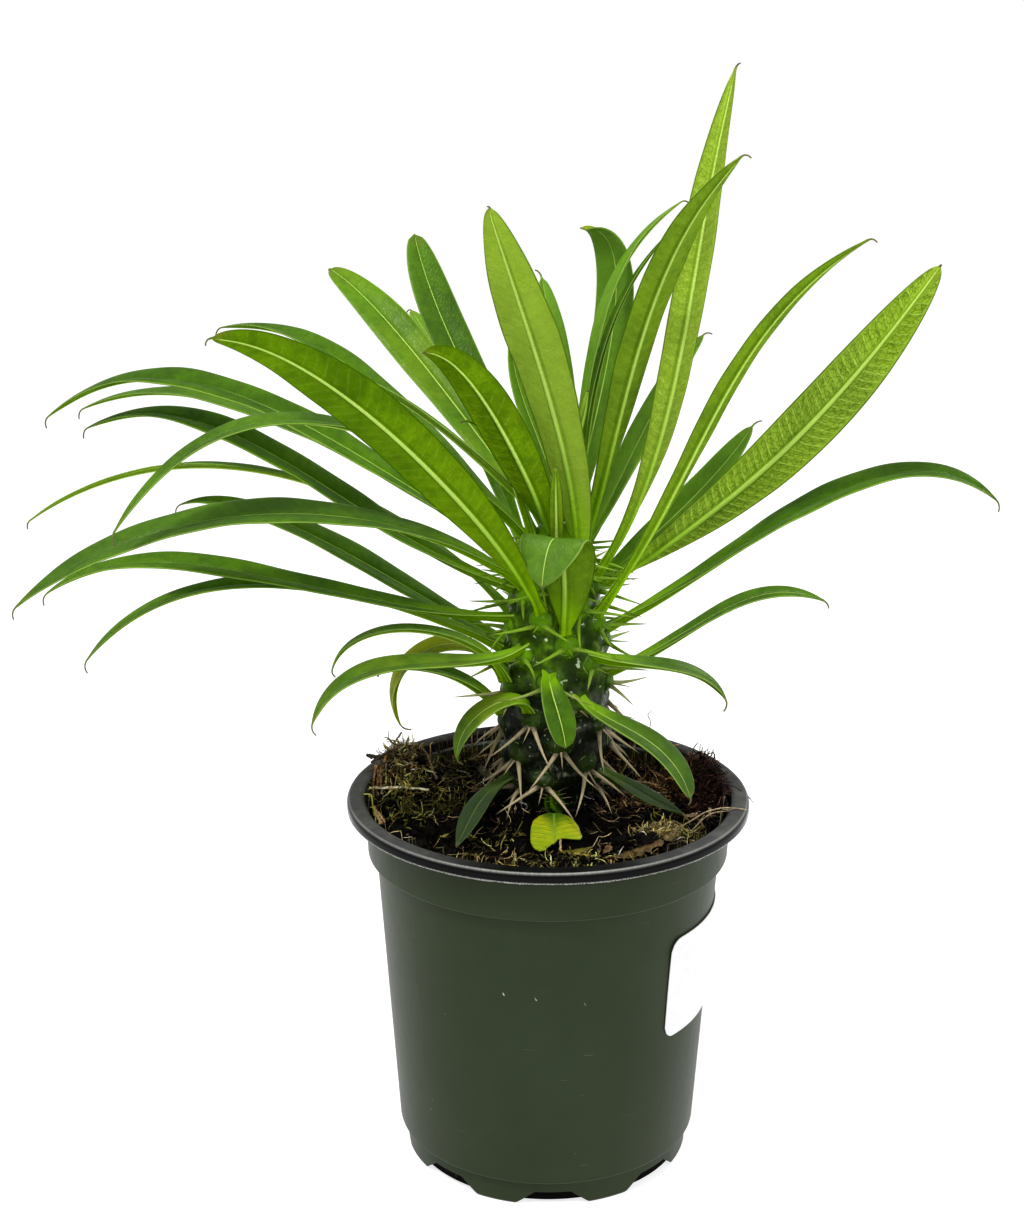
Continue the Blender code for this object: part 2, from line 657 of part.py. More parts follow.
def build_stem(leaves):
    """The stem with its tubercles, its spines rooted in it, and the small shoot at its foot."""
    heights = [STUMP_FOOT, 142.0, 146.0]
    heights += list(np.linspace(149.5, 243.0, 28))
    heights += [246.0, 248.5, 250.5, 251.8]
    azimuth = 360 * np.arange(STEM_SIDES) / STEM_SIDES
    rings = []
    for z in heights:
        r = stem_radius(azimuth, np.full(STEM_SIDES, z))
        a = np.radians(azimuth)
        rings.append(np.stack([STEM_X + r * np.cos(a), r * np.sin(a), np.full(STEM_SIDES, z)], -1))
    points, faces = loft(np.array(rings))
    look = material("stem bark", (0.075, 0.13, 0.025), 0.4)
    stem = add("stem", points, faces, look, smooth=True)
    grown = bpy.data.collections.new("grown on the stem")
    bpy.context.scene.collection.children.link(grown)
    pieces = [spike(root, tip, SPINE_RADIUS) for root, tip, _ in spines(leaves)]
    pieces += shoot()
    for index, piece in enumerate(pieces):
        growth = add(f"growth_{index}", *piece)
        bpy.context.scene.collection.objects.unlink(growth)
        grown.objects.link(growth)
    apply_boolean(stem, "UNION", collection=grown)
    bpy.data.collections.remove(grown)


def shoot():
    """The bud's blunt cone and its own short spines, ready to be joined to the stem."""
    foot, tip = np.array(SHOOT_FOOT), np.array(SHOOT_TIP)
    way = unit(tip - foot)
    level = unit(np.cross(way, [1.0, 0.0, 0.0]))
    other = np.cross(way, level)
    angle = 2 * np.pi * np.arange(SHOOT_SIDES) / SHOOT_SIDES
    ring = np.cos(angle)[:, None] * level + np.sin(angle)[:, None] * other
    shape = ((0.0, 1.0), (0.35, 0.95), (0.7, 0.6), (1.0, 0.2))
    rings = [foot + (tip - foot) * share + ring * SHOOT_RADIUS * wide for share, wide in shape]
    pieces = [loft(np.array(rings))]
    for index in range(SHOOT_SPINES):
        share = 0.3 + 0.6 * index / (SHOOT_SPINES - 1)
        out = heading(190 + GOLDEN_ANGLE * index % 160, 22)
        root = foot + (tip - foot) * share + out * 0.6
        reach = SHOOT_RADIUS * (1.0 - 0.6 * share) + SHOOT_SPINE_LENGTH
        pieces.append(spike(root, root + out * reach, SHOOT_SPINE_RADIUS))
    return pieces


def build_torn_leaf():
    """The shoot's leaf: arched across, lying just clear of the soil, with a bite out of one side."""
    rings = []
    for y, left, right in TORN_LEAF:
        x = np.linspace(left, right, 4)
        arch = TORN_LEAF_ARCH * np.sin(np.pi * np.clip((x + 7.5) / 20.0, 0, 1))
        upper = np.stack([x, np.full(4, y), soil_height(x, y) + TORN_LEAF_LIFT + arch], -1)
        rings.append(np.concatenate([upper - [0.0, 0.0, EDGE_THICK + 0.1], upper[::-1]]))
    points, faces = loft(np.array(rings), flip_from=4)
    add("torn_leaf", points, faces, material("yellowing leaf", (0.3, 0.4, 0.03), 0.4), smooth=True)


def build_leaves(leaves):
    look = material("leaf green", (0.085, 0.2, 0.012), 0.35)
    for name, rings in leaves.items():
        points, faces = loft(rings, flip_from=3)
        own = look.copy()
        own.name = f"{name} green"
        add(name, points, faces, own, smooth=True)


def main():
    for old in list(bpy.data.objects):
        bpy.data.objects.remove(old, do_unlink=True)
    leaves = {name: settled_leaf(leaf) for name, leaf in LEAVES.items()}
    build_pot()
    build_label()
    build_soil()
    build_stem(leaves)
    build_torn_leaf()
    build_leaves(leaves)


if __name__ == "__main__":
    main()
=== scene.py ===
"""Dresses a young Madagascar palm in its nursery pot.

Lengths in the tables are millimetres and angles are degrees; azimuths run anticlockwise seen from
above, from +X, so 270 is the front. Settings that a user would change are in metres, as Blender's are.
"""

import math
from typing import NamedTuple

import bmesh
import bpy
import numpy as np
from bpy.props import FloatProperty, FloatVectorProperty, IntProperty, PointerProperty
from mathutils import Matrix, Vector


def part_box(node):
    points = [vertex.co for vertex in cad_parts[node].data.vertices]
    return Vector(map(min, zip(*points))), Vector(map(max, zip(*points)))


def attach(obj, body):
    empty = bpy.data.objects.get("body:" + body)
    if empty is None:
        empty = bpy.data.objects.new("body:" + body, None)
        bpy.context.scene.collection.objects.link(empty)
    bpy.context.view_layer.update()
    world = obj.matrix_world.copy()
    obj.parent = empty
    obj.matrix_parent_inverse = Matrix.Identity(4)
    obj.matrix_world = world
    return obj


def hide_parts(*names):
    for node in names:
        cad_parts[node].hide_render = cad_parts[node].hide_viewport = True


bl_info = {
    "name": "Potted Madagascar Palm",
    "version": (1, 0, 0),
    "blender": (4, 5, 0),
    "location": "View3D > Sidebar > Palm",
    "description": "A spiny stem with long leaves in a nursery pot, with its soil, moss and straw",
    "category": "Add Mesh",
}

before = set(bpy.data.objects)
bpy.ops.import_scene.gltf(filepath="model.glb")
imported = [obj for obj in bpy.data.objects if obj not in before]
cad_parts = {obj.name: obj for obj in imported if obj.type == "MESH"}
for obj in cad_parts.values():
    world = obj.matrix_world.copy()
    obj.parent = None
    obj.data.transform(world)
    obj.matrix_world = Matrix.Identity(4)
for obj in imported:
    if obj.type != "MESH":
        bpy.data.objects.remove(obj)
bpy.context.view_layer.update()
POT_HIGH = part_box("pot")[1]

MM = 0.001
GOLDEN_ANGLE = 137.5
UP = np.array([0.0, 0.0, 1.0])
LATTICE = 32

# Pot, turned from one profile
LIP_RADIUS = POT_HIGH.x / MM
POT_HEIGHT = POT_HIGH.z / MM
LIP_DEPTH = 4.5
FLANGE_WIDTH = 5.4
WALL = 1.3
BAND_RADIUS = 68.9
BAND_HEIGHT = 123.0
BODY_TOP_RADIUS = 65.3
BODY_LOW_RADIUS = 57.8
FOOT_HEIGHT = 11.0
FOOT_RADIUS = 55.5
FLOOR = 1.5
POT_SIDES = 256

# Drain notches round the foot
NOTCHES = 8
NOTCH_WIDTH_LOW = 29.0
NOTCH_WIDTH_HIGH = 13.5
NOTCH_HEIGHT = 6.0
NOTCH_INNER_RADIUS = 48.0
NOTCH_TURN = 1.7

# Label, wrapped on the wall
LABEL_START = 313.8
LABEL_WIDTH = 70.0
LABEL_LOW = 63.9
LABEL_HIGH = 104.8
LABEL_CORNER = 5.0
LABEL_OFF = 0.35
LABEL_RADIUS = 62.0
LABEL_COLUMNS, LABEL_ROWS = 72, 24

# Soil
SOIL_AT_STEM = 141.0
SOIL_AT_WALL = 135.5
SOIL_HEAPS = (  # x, y, height, spread
    (-52.0, 27.0, 13.0, 13.0),
    (-60.0, 6.0, 5.0, 11.0),
    (59.0, 12.0, 14.0, 10.0),
    (38.0, -40.0, 6.0, 14.0),
    (10.0, -52.0, 3.0, 12.0),
    (-20.0, 45.0, 3.0, 16.0),
)
HOLE_DEPTH = 46.0
SOIL_RELIEF = 2.2
SOIL_SIDES, SOIL_RINGS = 320, 90
LARGE_CRUMBS = 190

# Stem
STEM_X = 2.5
NECK_RADIUS = 11.5
STUMP_FOOT = 96.0
STEM_TOP = 252.5
STEM_PROFILE = (  # height, radius, up to the tip
    (141.0, 11.5),
    (148.0, 13.2),
    (155.0, 17.0),
    (163.0, 18.4),
    (175.0, 18.6),
    (190.0, 18.8),
    (204.0, 18.0),
    (216.0, 16.0),
    (228.0, 13.2),
    (238.0, 10.8),
    (246.0, 7.6),
    (250.5, 4.2),
    (252.5, 0.0),
)
STEM_SIDES = 300
TUBERCLES = 64
TUBERCLE_START = 202.5
TUBERCLE_LOWEST = 150.5
TUBERCLE_STEP = 1.85
CROWDING_FROM = 26
CROWDING = 0.0125
TUBERCLE_RISE = 3.3
TUBERCLE_SIDE_SPREAD = 5.6
TUBERCLE_HIGH_SPREAD = 5.0

# Spines
SPINE_SPREAD = 52.0
SPINE_LONG = 19.0
SPINE_SHORT = 7.0
SPINE_LEAST = 0.45
SPINES_GROW_BELOW = 256.0
SPINES_GROWN_OVER = 15.0
OLD_BELOW = 185.0
OLD_DROOP = -38.0
YOUNG_DROOP = -6.0
SPINE_ROOT = 2.5
SPINE_CLEARANCE = 1.6
SPINE_REACH = 33.6
SPINELESS_TIP = 6
SPINE_ROWS, SPINE_SIDES = 11, 9

# Shoot and its torn leaf, whose shade on the soil stays free of crumbs and strands
SHOOT_FOOT = (2.5, -10.6, 143.5)
SHOOT_TIP = (2.2, -15.6, 152.0)
SHOOT_RADIUS = 3.6
SHOOT_SPINES = 18
TORN_LEAF = (  # y, left edge x, right edge x
    (-16.4, 0.2, 3.6),
    (-18.0, -3.4, 6.6),
    (-20.5, -5.8, 9.4),
    (-24.0, -6.6, 11.0),
    (-29.0, -6.9, 12.0),
    (-31.5, -6.9, 11.0),
    (-32.5, -6.8, 3.4),
    (-35.0, -6.2, 1.6),
    (-38.0, -5.0, -0.4),
    (-39.6, -3.6, -2.2),
)
TORN_RIB_X = 2.0
TORN_VEIN_PITCH = 2.6
TORN_LEAF_Y = -28.0
TORN_LEAF_WIDE, TORN_LEAF_LONG = 12.0, 15.0
TORN_LEAF_SHADE = 0.3


class Leaf(NamedTuple):
    """One leaf: where it starts, where its tip is, how it bends between them, and its blade.

    It leaves its tubercle straight out at the launch slope and arrives at its tip at the tip slope.
    The tip is placed by its azimuth and reach from the stem's axis and its height. The two handles
    are how far each end keeps its direction, as a share of the straight distance. The base and tip
    are the powers of the curves that open and close the blade: the smaller, the blunter. Turn rolls
    the blade about its rib, swing turns its last handle aside, widest is a share of its length, and
    channel is the slope of its two halves.
    """

    tubercle: int
    launch: float
    azimuth: float
    reach: float
    height: float
    slope: float
    width: float
    turn: float = 0.0
    first_handle: float = 0.36
    last_handle: float = 0.36
    swing: float = 0.0
    widest: float = 0.6
    channel: float = 12.0
    base: float = 0.9
    tip: float = 0.7


LEAVES = {
    "leaf_01": Leaf(47, 34, 165, 202, 279, -38, 19, turn=8, first_handle=0.4),
    "leaf_02": Leaf(44, 12, 155, 209, 275, -26, 15, turn=5),
    "leaf_03": Leaf(39, 12, 163, 189, 274, -26, 18, turn=8),
    "leaf_04": Leaf(50, 46, 202, 161, 262, -55, 13, turn=5, first_handle=0.4, last_handle=0.55),
    "leaf_05": Leaf(31, 38, 166, 211, 238, -36, 9, turn=-8, last_handle=0.42),
    "leaf_06": Leaf(23, -5, 160, 155, 244, -22, 15, turn=10, last_handle=0.25),
    "leaf_07": Leaf(42, 38, 195, 193, 233, -38, 19, turn=12, first_handle=0.4),
    "leaf_08": Leaf(34, 3, 184, 185, 227, -36, 16, turn=8, last_handle=0.3),
    "leaf_09": Leaf(26, 26, 188, 171, 205, -52, 13, turn=3),
    "leaf_10": Leaf(37, 43, 222, 145, 333, 5, 19, turn=-50, first_handle=0.3, last_handle=0.24, tip=0.5),
    "leaf_11": Leaf(52, 34, 150, 150, 310, -12, 16),
    "leaf_12": Leaf(60, 40, 170, 76, 303, 22, 9, turn=-15),
    "leaf_13": Leaf(57, 22, 135, 124, 331, 18, 16, turn=28, last_handle=0.25, widest=0.68, tip=0.42),
    "leaf_14": Leaf(49, 24, 121, 106, 344, 66, 16, turn=15, widest=0.76, tip=0.4),
    "leaf_15": Leaf(36, 42, 117, 126, 311, 25, 11, widest=0.7, tip=0.45),
    "leaf_16": Leaf(
        58, 26, 215, 56, 318, 0, 16, turn=-50, first_handle=0.3, last_handle=0.24, base=0.7, tip=0.5
    ),
    "leaf_17": Leaf(62, 48, 130, 25, 317, 95, 8),
    "leaf_18": Leaf(
        48, 92, 247, 59, 368, 62, 23, first_handle=0.26, widest=0.66, channel=4, base=0.6, tip=0.55
    ),
    "leaf_19": Leaf(54, 80, 105, 20, 336, 70, 12, tip=0.45),
    "leaf_20": Leaf(
        41, 40, 71.5, 28.5, 353, -5, 15, first_handle=0.4, last_handle=0.24, swing=118, widest=0.76, tip=0.36
    ),
    "leaf_21": Leaf(59, 78, 38, 58, 362, 24, 9, turn=20, first_handle=0.55),
    "leaf_22": Leaf(56, 84, 25, 45, 353, 38, 6, turn=20, first_handle=0.45),
    "leaf_23": Leaf(43, 52, 349, 60, 410, 76, 14, turn=50, first_handle=0.3),
    "leaf_24": Leaf(51, 70, 318, 77, 384, 38, 15, turn=10, first_handle=0.3),
    "leaf_25": Leaf(46, 42, 40, 73, 311, 40, 13, tip=0.5),
    "leaf_26": Leaf(35, 52, 323, 120, 360, 30, 9, turn=20),
    "leaf_27": Leaf(33, 14, 20, 78, 280, 57, 13, turn=-30, first_handle=0.3, widest=0.66, tip=0.5),
    "leaf_28": Leaf(38, 20, 330, 138, 351, 56, 18.6, turn=70, channel=8, base=0.8, tip=0.5),
    "leaf_29": Leaf(30, 22, 346, 155, 268, -38, 16, turn=-15, last_handle=0.33),
    "leaf_30": Leaf(22, 18, 345, 98, 228, -20, 9, turn=-18),
    "leaf_31": Leaf(27, -4, 342, 65, 189, -60, 12),
    "leaf_32": Leaf(
        32, 80, 261, 37, 236, -80, 25, first_handle=1.32, last_handle=0.9, widest=0.66, channel=2
    ),
    "leaf_33": Leaf(24, -10, 275, 36, 176, -75, 10, widest=0.66, tip=0.42),
    "leaf_34": Leaf(16, 55, 210, 42, 166, -95, 9, turn=25, first_handle=0.5, last_handle=0.5),
    "leaf_35": Leaf(19, -18, 314, 68, 162, -68, 13, last_handle=0.45, widest=0.66, tip=0.45),
    "leaf_36": Leaf(1, -20, 328, 54, 148, -5, 8),
    "leaf_37": Leaf(0, -25, 230, 56, 141, -35, 8),
    "leaf_39": Leaf(21, 62, 185, 83, 196, -75, 8, first_handle=0.45),
    "leaf_40": Leaf(29, -15, 205, 96, 187, -67, 16, last_handle=0.42),
    "leaf_41": Leaf(18, 58, 170, 60, 168, -116, 12, turn=15, first_handle=0.7, last_handle=0.6),
    "leaf_42": Leaf(13, 55, 178, 64, 193, -15, 10),
    "leaf_43": Leaf(28, 20, 93, 118, 204, -40, 16),
    "leaf_44": Leaf(20, 20, 80, 104, 184, -45, 16),
    "leaf_45": Leaf(15, 15, 102, 92, 172, -50, 15),
    "leaf_46": Leaf(7, 15, 86, 76, 158, -50, 13),
    "leaf_47": Leaf(55, 62, 172, 33, 287, 8, 6, turn=-20),
    "leaf_48": Leaf(63, 85, 250, 7, 281, 85, 4),
    "leaf_49": Leaf(61, 84, 318, 14, 300, 78, 6),
    "leaf_50": Leaf(45, 68, 268, 25, 276, 70, 4.2),
}
FOOT_RISE = 4.0
FOOT_SUNK = 1.2
PETIOLE_HALF = 1.5
HOOK_LENGTH = 6.5
HOOK_BEND = 75.0
HOOK_HALF = 0.45
HOOK_THREAD = 0.3
HOOK_ROWS = 9
ROOT_ROWS = 4
ROOT_DEPTH = 5.0
FINE_ROW, PLAIN_ROW = 0.62, 1.5
FINE_STEPS, PLAIN_STEPS = 30, 22


class Finish(NamedTuple):
    """What one leaf's surface shows, all from 0 to 1, but for the tone, from -1, dull, to 1, pale."""

    tone: float = -0.05
    stains: float = 0.35
    quilting: float = 0.04
    hook: float = 0.8
    yellow: float = 0.0


FINISHES = {
    "leaf_01": Finish(0.1, 0.3),
    "leaf_02": Finish(0.25, 0.8),
    "leaf_03": Finish(0.1, 0.2),
    "leaf_04": Finish(0.05, 0.7),
    "leaf_05": Finish(0.5, 0.6),
    "leaf_06": Finish(0.25, 0.4),
    "leaf_07": Finish(0.1, 0.8),
    "leaf_08": Finish(0.1, 0.5),
    "leaf_09": Finish(0.45, 0.6),
    "leaf_10": Finish(0.0, 0.1, 0.08),
    "leaf_11": Finish(0.1),
    "leaf_12": Finish(0.6),
    "leaf_13": Finish(0.48, 0.2, 0.16, hook=0.4, yellow=0.1),
    "leaf_14": Finish(0.18, 0.6, 0.02, hook=0.1),
    "leaf_15": Finish(0.9, 0.1),
    "leaf_16": Finish(0.05, 0.1, 0.1, hook=0.2, yellow=0.1),
    "leaf_17": Finish(0.7, 0.1),
    "leaf_18": Finish(0.78, 0.15, hook=0.3),
    "leaf_19": Finish(0.95),
    "leaf_20": Finish(0.55, 0.7, 0.06, hook=0.1),
    "leaf_21": Finish(0.7, 0.2),
    "leaf_22": Finish(-0.5, 0.1),
    "leaf_23": Finish(0.8, 0.1, 0.45, hook=0.5, yellow=0.05),
    "leaf_24": Finish(0.42, 0.1, 0.12),
    "leaf_25": Finish(0.6, 0.5),
    "leaf_26": Finish(0.36, 0.2, 0.12),
    "leaf_27": Finish(0.55, 0.5),
    "leaf_28": Finish(0.72, 0.1, 0.9, hook=0.3),
    "leaf_29": Finish(0.0, 0.5),
    "leaf_30": Finish(-0.05, 0.8),
    "leaf_31": Finish(0.2, 1.0),
    "leaf_32": Finish(0.3, 0.9, hook=0.2),
    "leaf_33": Finish(-0.1, 0.3, hook=0.1),
    "leaf_34": Finish(0.0, 0.5, yellow=0.25),
    "leaf_35": Finish(-0.5, 0.8, hook=0.5),
    "leaf_36": Finish(-1.0, 1.0),
    "leaf_37": Finish(-1.0, 0.8, hook=0.2),
    "leaf_39": Finish(0.45, 1.0),
    "leaf_40": Finish(0.05, 0.8, yellow=0.12),
    "leaf_41": Finish(0.2, 0.3, yellow=0.6),
    "leaf_48": Finish(1.0, 0.0, 0.0, hook=0.2),
    "leaf_49": Finish(0.8, 0.0, 0.0, hook=0.4),
    "leaf_50": Finish(0.3, 0.0, 0.0, hook=0.1, yellow=0.1),
}
FINE_LEAVES = ("leaf_10", "leaf_13", "leaf_16", "leaf_18", "leaf_23", "leaf_24", "leaf_28", "leaf_32")

# Colours, linear
PALEST = 0.9  # the most that a varied tint reaches
BLACK = (0.0, 0.0, 0.0)
WALL_CLOUD = (0.032, 0.046, 0.021)
# painted reflection: lighter grey on the flange's two sides
FLANGE_SIDE_REFLECTION = (0.15, 0.15, 0.145)
# dust; at the flange's sides it also stands for painted reflection
DUST_AND_SIDE_REFLECTION = (0.19, 0.185, 0.175)
PAPER_SHADE = (0.69, 0.695, 0.71)
PAPER_FIBRE = (0.62, 0.62, 0.63)
PEAT = (0.003, 0.0018, 0.0011)
# painted shade in the peat's hollows
PEAT_HOLLOW_SHADE = (0.0008, 0.0006, 0.0005)
DRY_PEAT = (0.014, 0.008, 0.004)
SMALL_CRUMB = (0.004, 0.0026, 0.0016)
LARGE_CRUMB = (0.003, 0.002, 0.0013)
TAN_MOSS = (0.44, 0.34, 0.13)
STRAW = (0.85, 0.62, 0.34)
# painted shade in the furrows between tubercles, young and old
YOUNG_FURROW_SHADE = (0.022, 0.05, 0.001)
OLD_FURROW_SHADE = (0.005, 0.008, 0.003)
# painted sheen on the young bark
SHEEN_PATCH_GREEN = (0.16, 0.31, 0.004)
# painted shade in the crease round a tubercle
CREASE_SHADE = (0.004, 0.01, 0.001)
# painted highlight: pale ring round a tubercle
PALE_RING_HIGHLIGHT = (0.3, 0.42, 0.16)
# painted glints on the bark
GLINT_SPECK = (0.6, 0.72, 0.5)
UPPER_SHADES = ((0.24, 0.43, 0.045), (0.19, 0.37, 0.004), (0.022, 0.068, 0.004))  # bloom, bright, deep
UNDER_SHADES = ((0.5, 0.68, 0.09), (0.34, 0.52, 0.006), (0.055, 0.12, 0.001))
DULL_LEAF = (0.028, 0.05, 0.026)
WAX = (0.42, 0.5, 0.3)
DRY_TIP = (0.3, 0.26, 0.06)
LIT_THROUGH = (0.4, 0.68, 0.006)
GREY_HORN = (0.22, 0.19, 0.11)
HORN_FOOT = (0.04, 0.035, 0.02)
HORN_GRAIN = (0.5, 0.42, 0.3)
LIME = (0.36, 0.47, 0.012)
YELLOW_LIME = (0.52, 0.55, 0.015)
TORN_GREEN = (0.1, 0.22, 0.01)
TORN_VEIN = (0.12, 0.22, 0.01)
TORN_RIB = (0.3, 0.42, 0.03)
BROWN_SPOT = (0.12, 0.09, 0.02)

# Seeds, to which a piece's number is added
PATCH_SEED, STICK_SEED, SCRAP_SEED, LEAF_SEED = 100, 500, 700, 900


# ---------------------------------------------------------------- vectors and noise


def unit(vectors):
    """Vectors along the last axis, each made one long."""
    return vectors / np.maximum(np.linalg.norm(vectors, axis=-1, keepdims=True), 1e-9)


def stacked(*parts):
    """Arrays or numbers, broadcast together and stacked as the coordinates of points."""
    return np.stack(np.broadcast_arrays(*parts), -1)


def turns(sides):
    """Angles that divide a full turn evenly."""
    return 2 * np.pi * np.arange(sides) / sides


def heading(azimuth, slope=0.0):
    """Directions at azimuths and slopes above level, both in degrees."""
    a, s = np.radians(azimuth), np.radians(slope)
    return stacked(np.cos(a) * np.cos(s), np.sin(a) * np.cos(s), np.sin(s))


def eased(value, low, high):
    """0 below low, 1 above high, and a smoothstep between them."""
    share = np.clip((value - low) / (high - low), 0, 1)
    return share * share * (3 - 2 * share)


def evenly(line, count):
    """(points, length): a dense line sampled again at even steps of its own length."""
    gone = np.concatenate([[0], np.cumsum(np.linalg.norm(np.diff(line, axis=0), axis=1))])
    even = np.linspace(0, gone[-1], count)
    return stacked(*(np.interp(even, gone, line[:, axis]) for axis in range(3))), gone[-1]


def lattice_noise(points, cell, seed):
    """Random values from -1 to 1 on a cubic lattice of one cell size, blended by a smoothstep."""
    table = np.random.default_rng(seed).uniform(-1, 1, (LATTICE,) * 3)
    place = np.asarray(points, float) / cell
    low = np.floor(place).astype(int)
    part = place - low
    part = part * part * (3 - 2 * part)
    total = np.zeros(place.shape[:-1])
    for corner in np.ndindex(2, 2, 2):
        weight = np.prod(np.where(corner, part, 1 - part), axis=-1)
        cells = (low + corner) % LATTICE
        total += weight * table[cells[..., 0], cells[..., 1], cells[..., 2]]
    return total


# ---------------------------------------------------------------- meshes


class Shape(NamedTuple):
    """Points in millimetres, arrays of faces by their count of corners, and values at the points."""

    points: np.ndarray
    faces: list
    marks: dict


def together(shapes):
    """Several shapes as one, kept apart in it."""
    points, faces, base = [], [], 0
    for shape in shapes:
        points.append(shape.points)
        faces += [np.asarray(some) + base for some in shape.faces]
        base += len(shape.points)
    marks = {key: np.concatenate([shape.marks[key] for shape in shapes]) for key in shapes[0].marks}
    return Shape(np.concatenate(points), faces, marks)


def tube_faces(count, stations, sides):
    """Faces of closed tubes, ring after ring: quads along each, then a flat face on both ends."""
    n, j, i = np.meshgrid(np.arange(count), np.arange(stations - 1), np.arange(sides), indexing="ij")
    base = (n * stations + j) * sides
    a, b = base + i, base + (i + 1) % sides
    quads = np.stack([a, b, b + sides, a + sides], -1).reshape(-1, 4)
    first = np.arange(count)[:, None] * stations * sides + np.arange(sides)
    return [quads, first[:, ::-1], first + (stations - 1) * sides]


def skin(rings, **marks):
    """Closed rings of equal count joined in order by quads, with a flat face on each end."""
    count, sides = rings.shape[:2]
    flat = {
        key: np.asarray(value, float).reshape((count * sides,) + np.shape(value)[2:])
        for key, value in marks.items()
    }
    return Shape(rings.reshape(-1, 3), tube_faces(1, count, sides), flat)


def strands(lines, radii, tints, sides=3):
    """Thin closed tubes round many lines at once.

    Each line's points get a ring: radius times (cosine times a side vector, plus sine times the
    vector square to it and to the line). Lines are (count, stations, 3), radii (count, stations).
    """
    count, stations = lines.shape[:2]
    along = unit(np.gradient(lines, axis=1))
    lean = unit(np.cross(along[:, :1], [0.31, 0.52, 0.79]))
    side = unit(lean - np.sum(lean * along, -1, keepdims=True) * along)
    other = np.cross(along, side)
    angle = turns(sides)
    circle = np.cos(angle)[:, None] * side[:, :, None] + np.sin(angle)[:, None] * other[:, :, None]
    rings = lines[:, :, None] + radii[:, :, None, None] * circle
    tint = np.repeat(tints, stations * sides, axis=0)
    return Shape(rings.reshape(-1, 3), tube_faces(count, stations, sides), {"tint": tint})


def ball(subdivisions):
    """(points, triangles) of a unit ball of near-equal triangles."""
    built = bmesh.new()
    bmesh.ops.create_icosphere(built, subdivisions=subdivisions, radius=1.0)
    points = np.array([v.co for v in built.verts])
    faces = np.array([[v.index for v in f.verts] for f in built.faces])
    built.free()
    return points, faces


def lumps(centres, sizes, tints, seed, subdivisions=1):
    """Many irregular crumbs: a ball whose points move in and out at random, turned and stretched."""
    rng = np.random.default_rng(seed)
    points, faces = ball(subdivisions)
    count = len(centres)
    rough = 1 + rng.uniform(-0.32, 0.32, (count, len(points), 1))
    stretch = rng.uniform(0.55, 1.3, (count, 1, 3))
    axes = np.linalg.qr(rng.normal(size=(count, 3, 3)))[0]
    axes *= np.sign(np.linalg.det(axes))[:, None, None]
    moved = np.einsum("npk,nkl->npl", points[None] * rough * stretch, axes)
    moved = moved * sizes[:, None, None] + centres[:, None]
    corners = faces[None] + np.arange(count)[:, None, None] * len(points)
    tint = np.repeat(tints, len(points), axis=0)
    return Shape(moved.reshape(-1, 3), [corners.reshape(-1, 3)], {"tint": tint})


def make(name, shape, looks, stands_for=(), smooth=True, look_of_face=None):
    """The mesh object of a shape, with its marks as attributes, riding on the one body.

    It takes the looks that it is given, and stands for the CAD nodes that are named.
    """
    mesh = bpy.data.meshes.new(name)
    corners = np.concatenate([some.ravel() for some in shape.faces])
    sizes = np.concatenate([np.full(len(some), some.shape[1]) for some in shape.faces])
    mesh.vertices.add(len(shape.points))
    mesh.vertices.foreach_set("co", (shape.points * MM).astype(np.float32).ravel())
    mesh.loops.add(len(corners))
    mesh.loops.foreach_set("vertex_index", corners.astype(np.int32))
    mesh.polygons.add(len(sizes))
    mesh.polygons.foreach_set("loop_start", (np.cumsum(sizes) - sizes).astype(np.int32))
    for look in looks:
        mesh.materials.append(look)
    if look_of_face is not None:
        mesh.polygons.foreach_set("material_index", look_of_face.astype(np.int32))
    mesh.update(calc_edges=True)
    for key, values in shape.marks.items():
        kind = "FLOAT_VECTOR" if values.ndim == 2 else "FLOAT"
        mark = mesh.attributes.new(key, kind, "POINT")
        mark.data.foreach_set("vector" if values.ndim == 2 else "value", values.astype(np.float32).ravel())
    if smooth:
        mesh.shade_smooth()
    else:
        mesh.shade_flat()
    made = bpy.data.objects.new(name, mesh)
    bpy.context.scene.collection.objects.link(made)
    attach(made, "root")
    if stands_for:
        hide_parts(*stands_for)
    return made


# ---------------------------------------------------------------- material nodes


class Value:
    """A number that varies over a surface: sums, products and steps of it add nodes to its material."""

    def __init__(self, graph, socket):
        self.graph = graph
        self.socket = socket

    def __add__(self, other):
        return self.graph.math("ADD", self, other)

    def __sub__(self, other):
        return self.graph.math("SUBTRACT", self, other)

    def __rsub__(self, other):
        return self.graph.math("SUBTRACT", other, self)

    def __mul__(self, other):
        return self.graph.math("MULTIPLY", self, other)

    def __truediv__(self, other):
        return self.graph.math("DIVIDE", self, other)

    def __abs__(self):
        return self.graph.math("ABSOLUTE", self)

    __radd__ = __add__
    __rmul__ = __mul__

    def most(self, other):
        """The greater of two values at each spot."""
        return self.graph.math("MAXIMUM", self, other)

    def fold(self, half):
        """Runs from 0 up to half and back to 0, over and over."""
        return self.graph.math("PINGPONG", self, half)

    def step(self, low, high):
        """0 below low, 1 above high, smooth between; it falls where low is the greater."""
        made = self.graph.node("ShaderNodeMapRange", interpolation_type="SMOOTHSTEP")
        self.graph.put(made.inputs["Value"], self)
        rising = low < high
        made.inputs["From Min"].default_value = low if rising else high
        made.inputs["From Max"].default_value = high if rising else low
        made.inputs["To Min"].default_value = 0.0 if rising else 1.0
        made.inputs["To Max"].default_value = 1.0 if rising else 0.0
        return Value(self.graph, made.outputs["Result"])

    def band(self, start, full, fading, end):
        """0 outside start and end, 1 from full to fading, smooth on both sides."""
        return self.step(start, full) * self.step(end, fading)


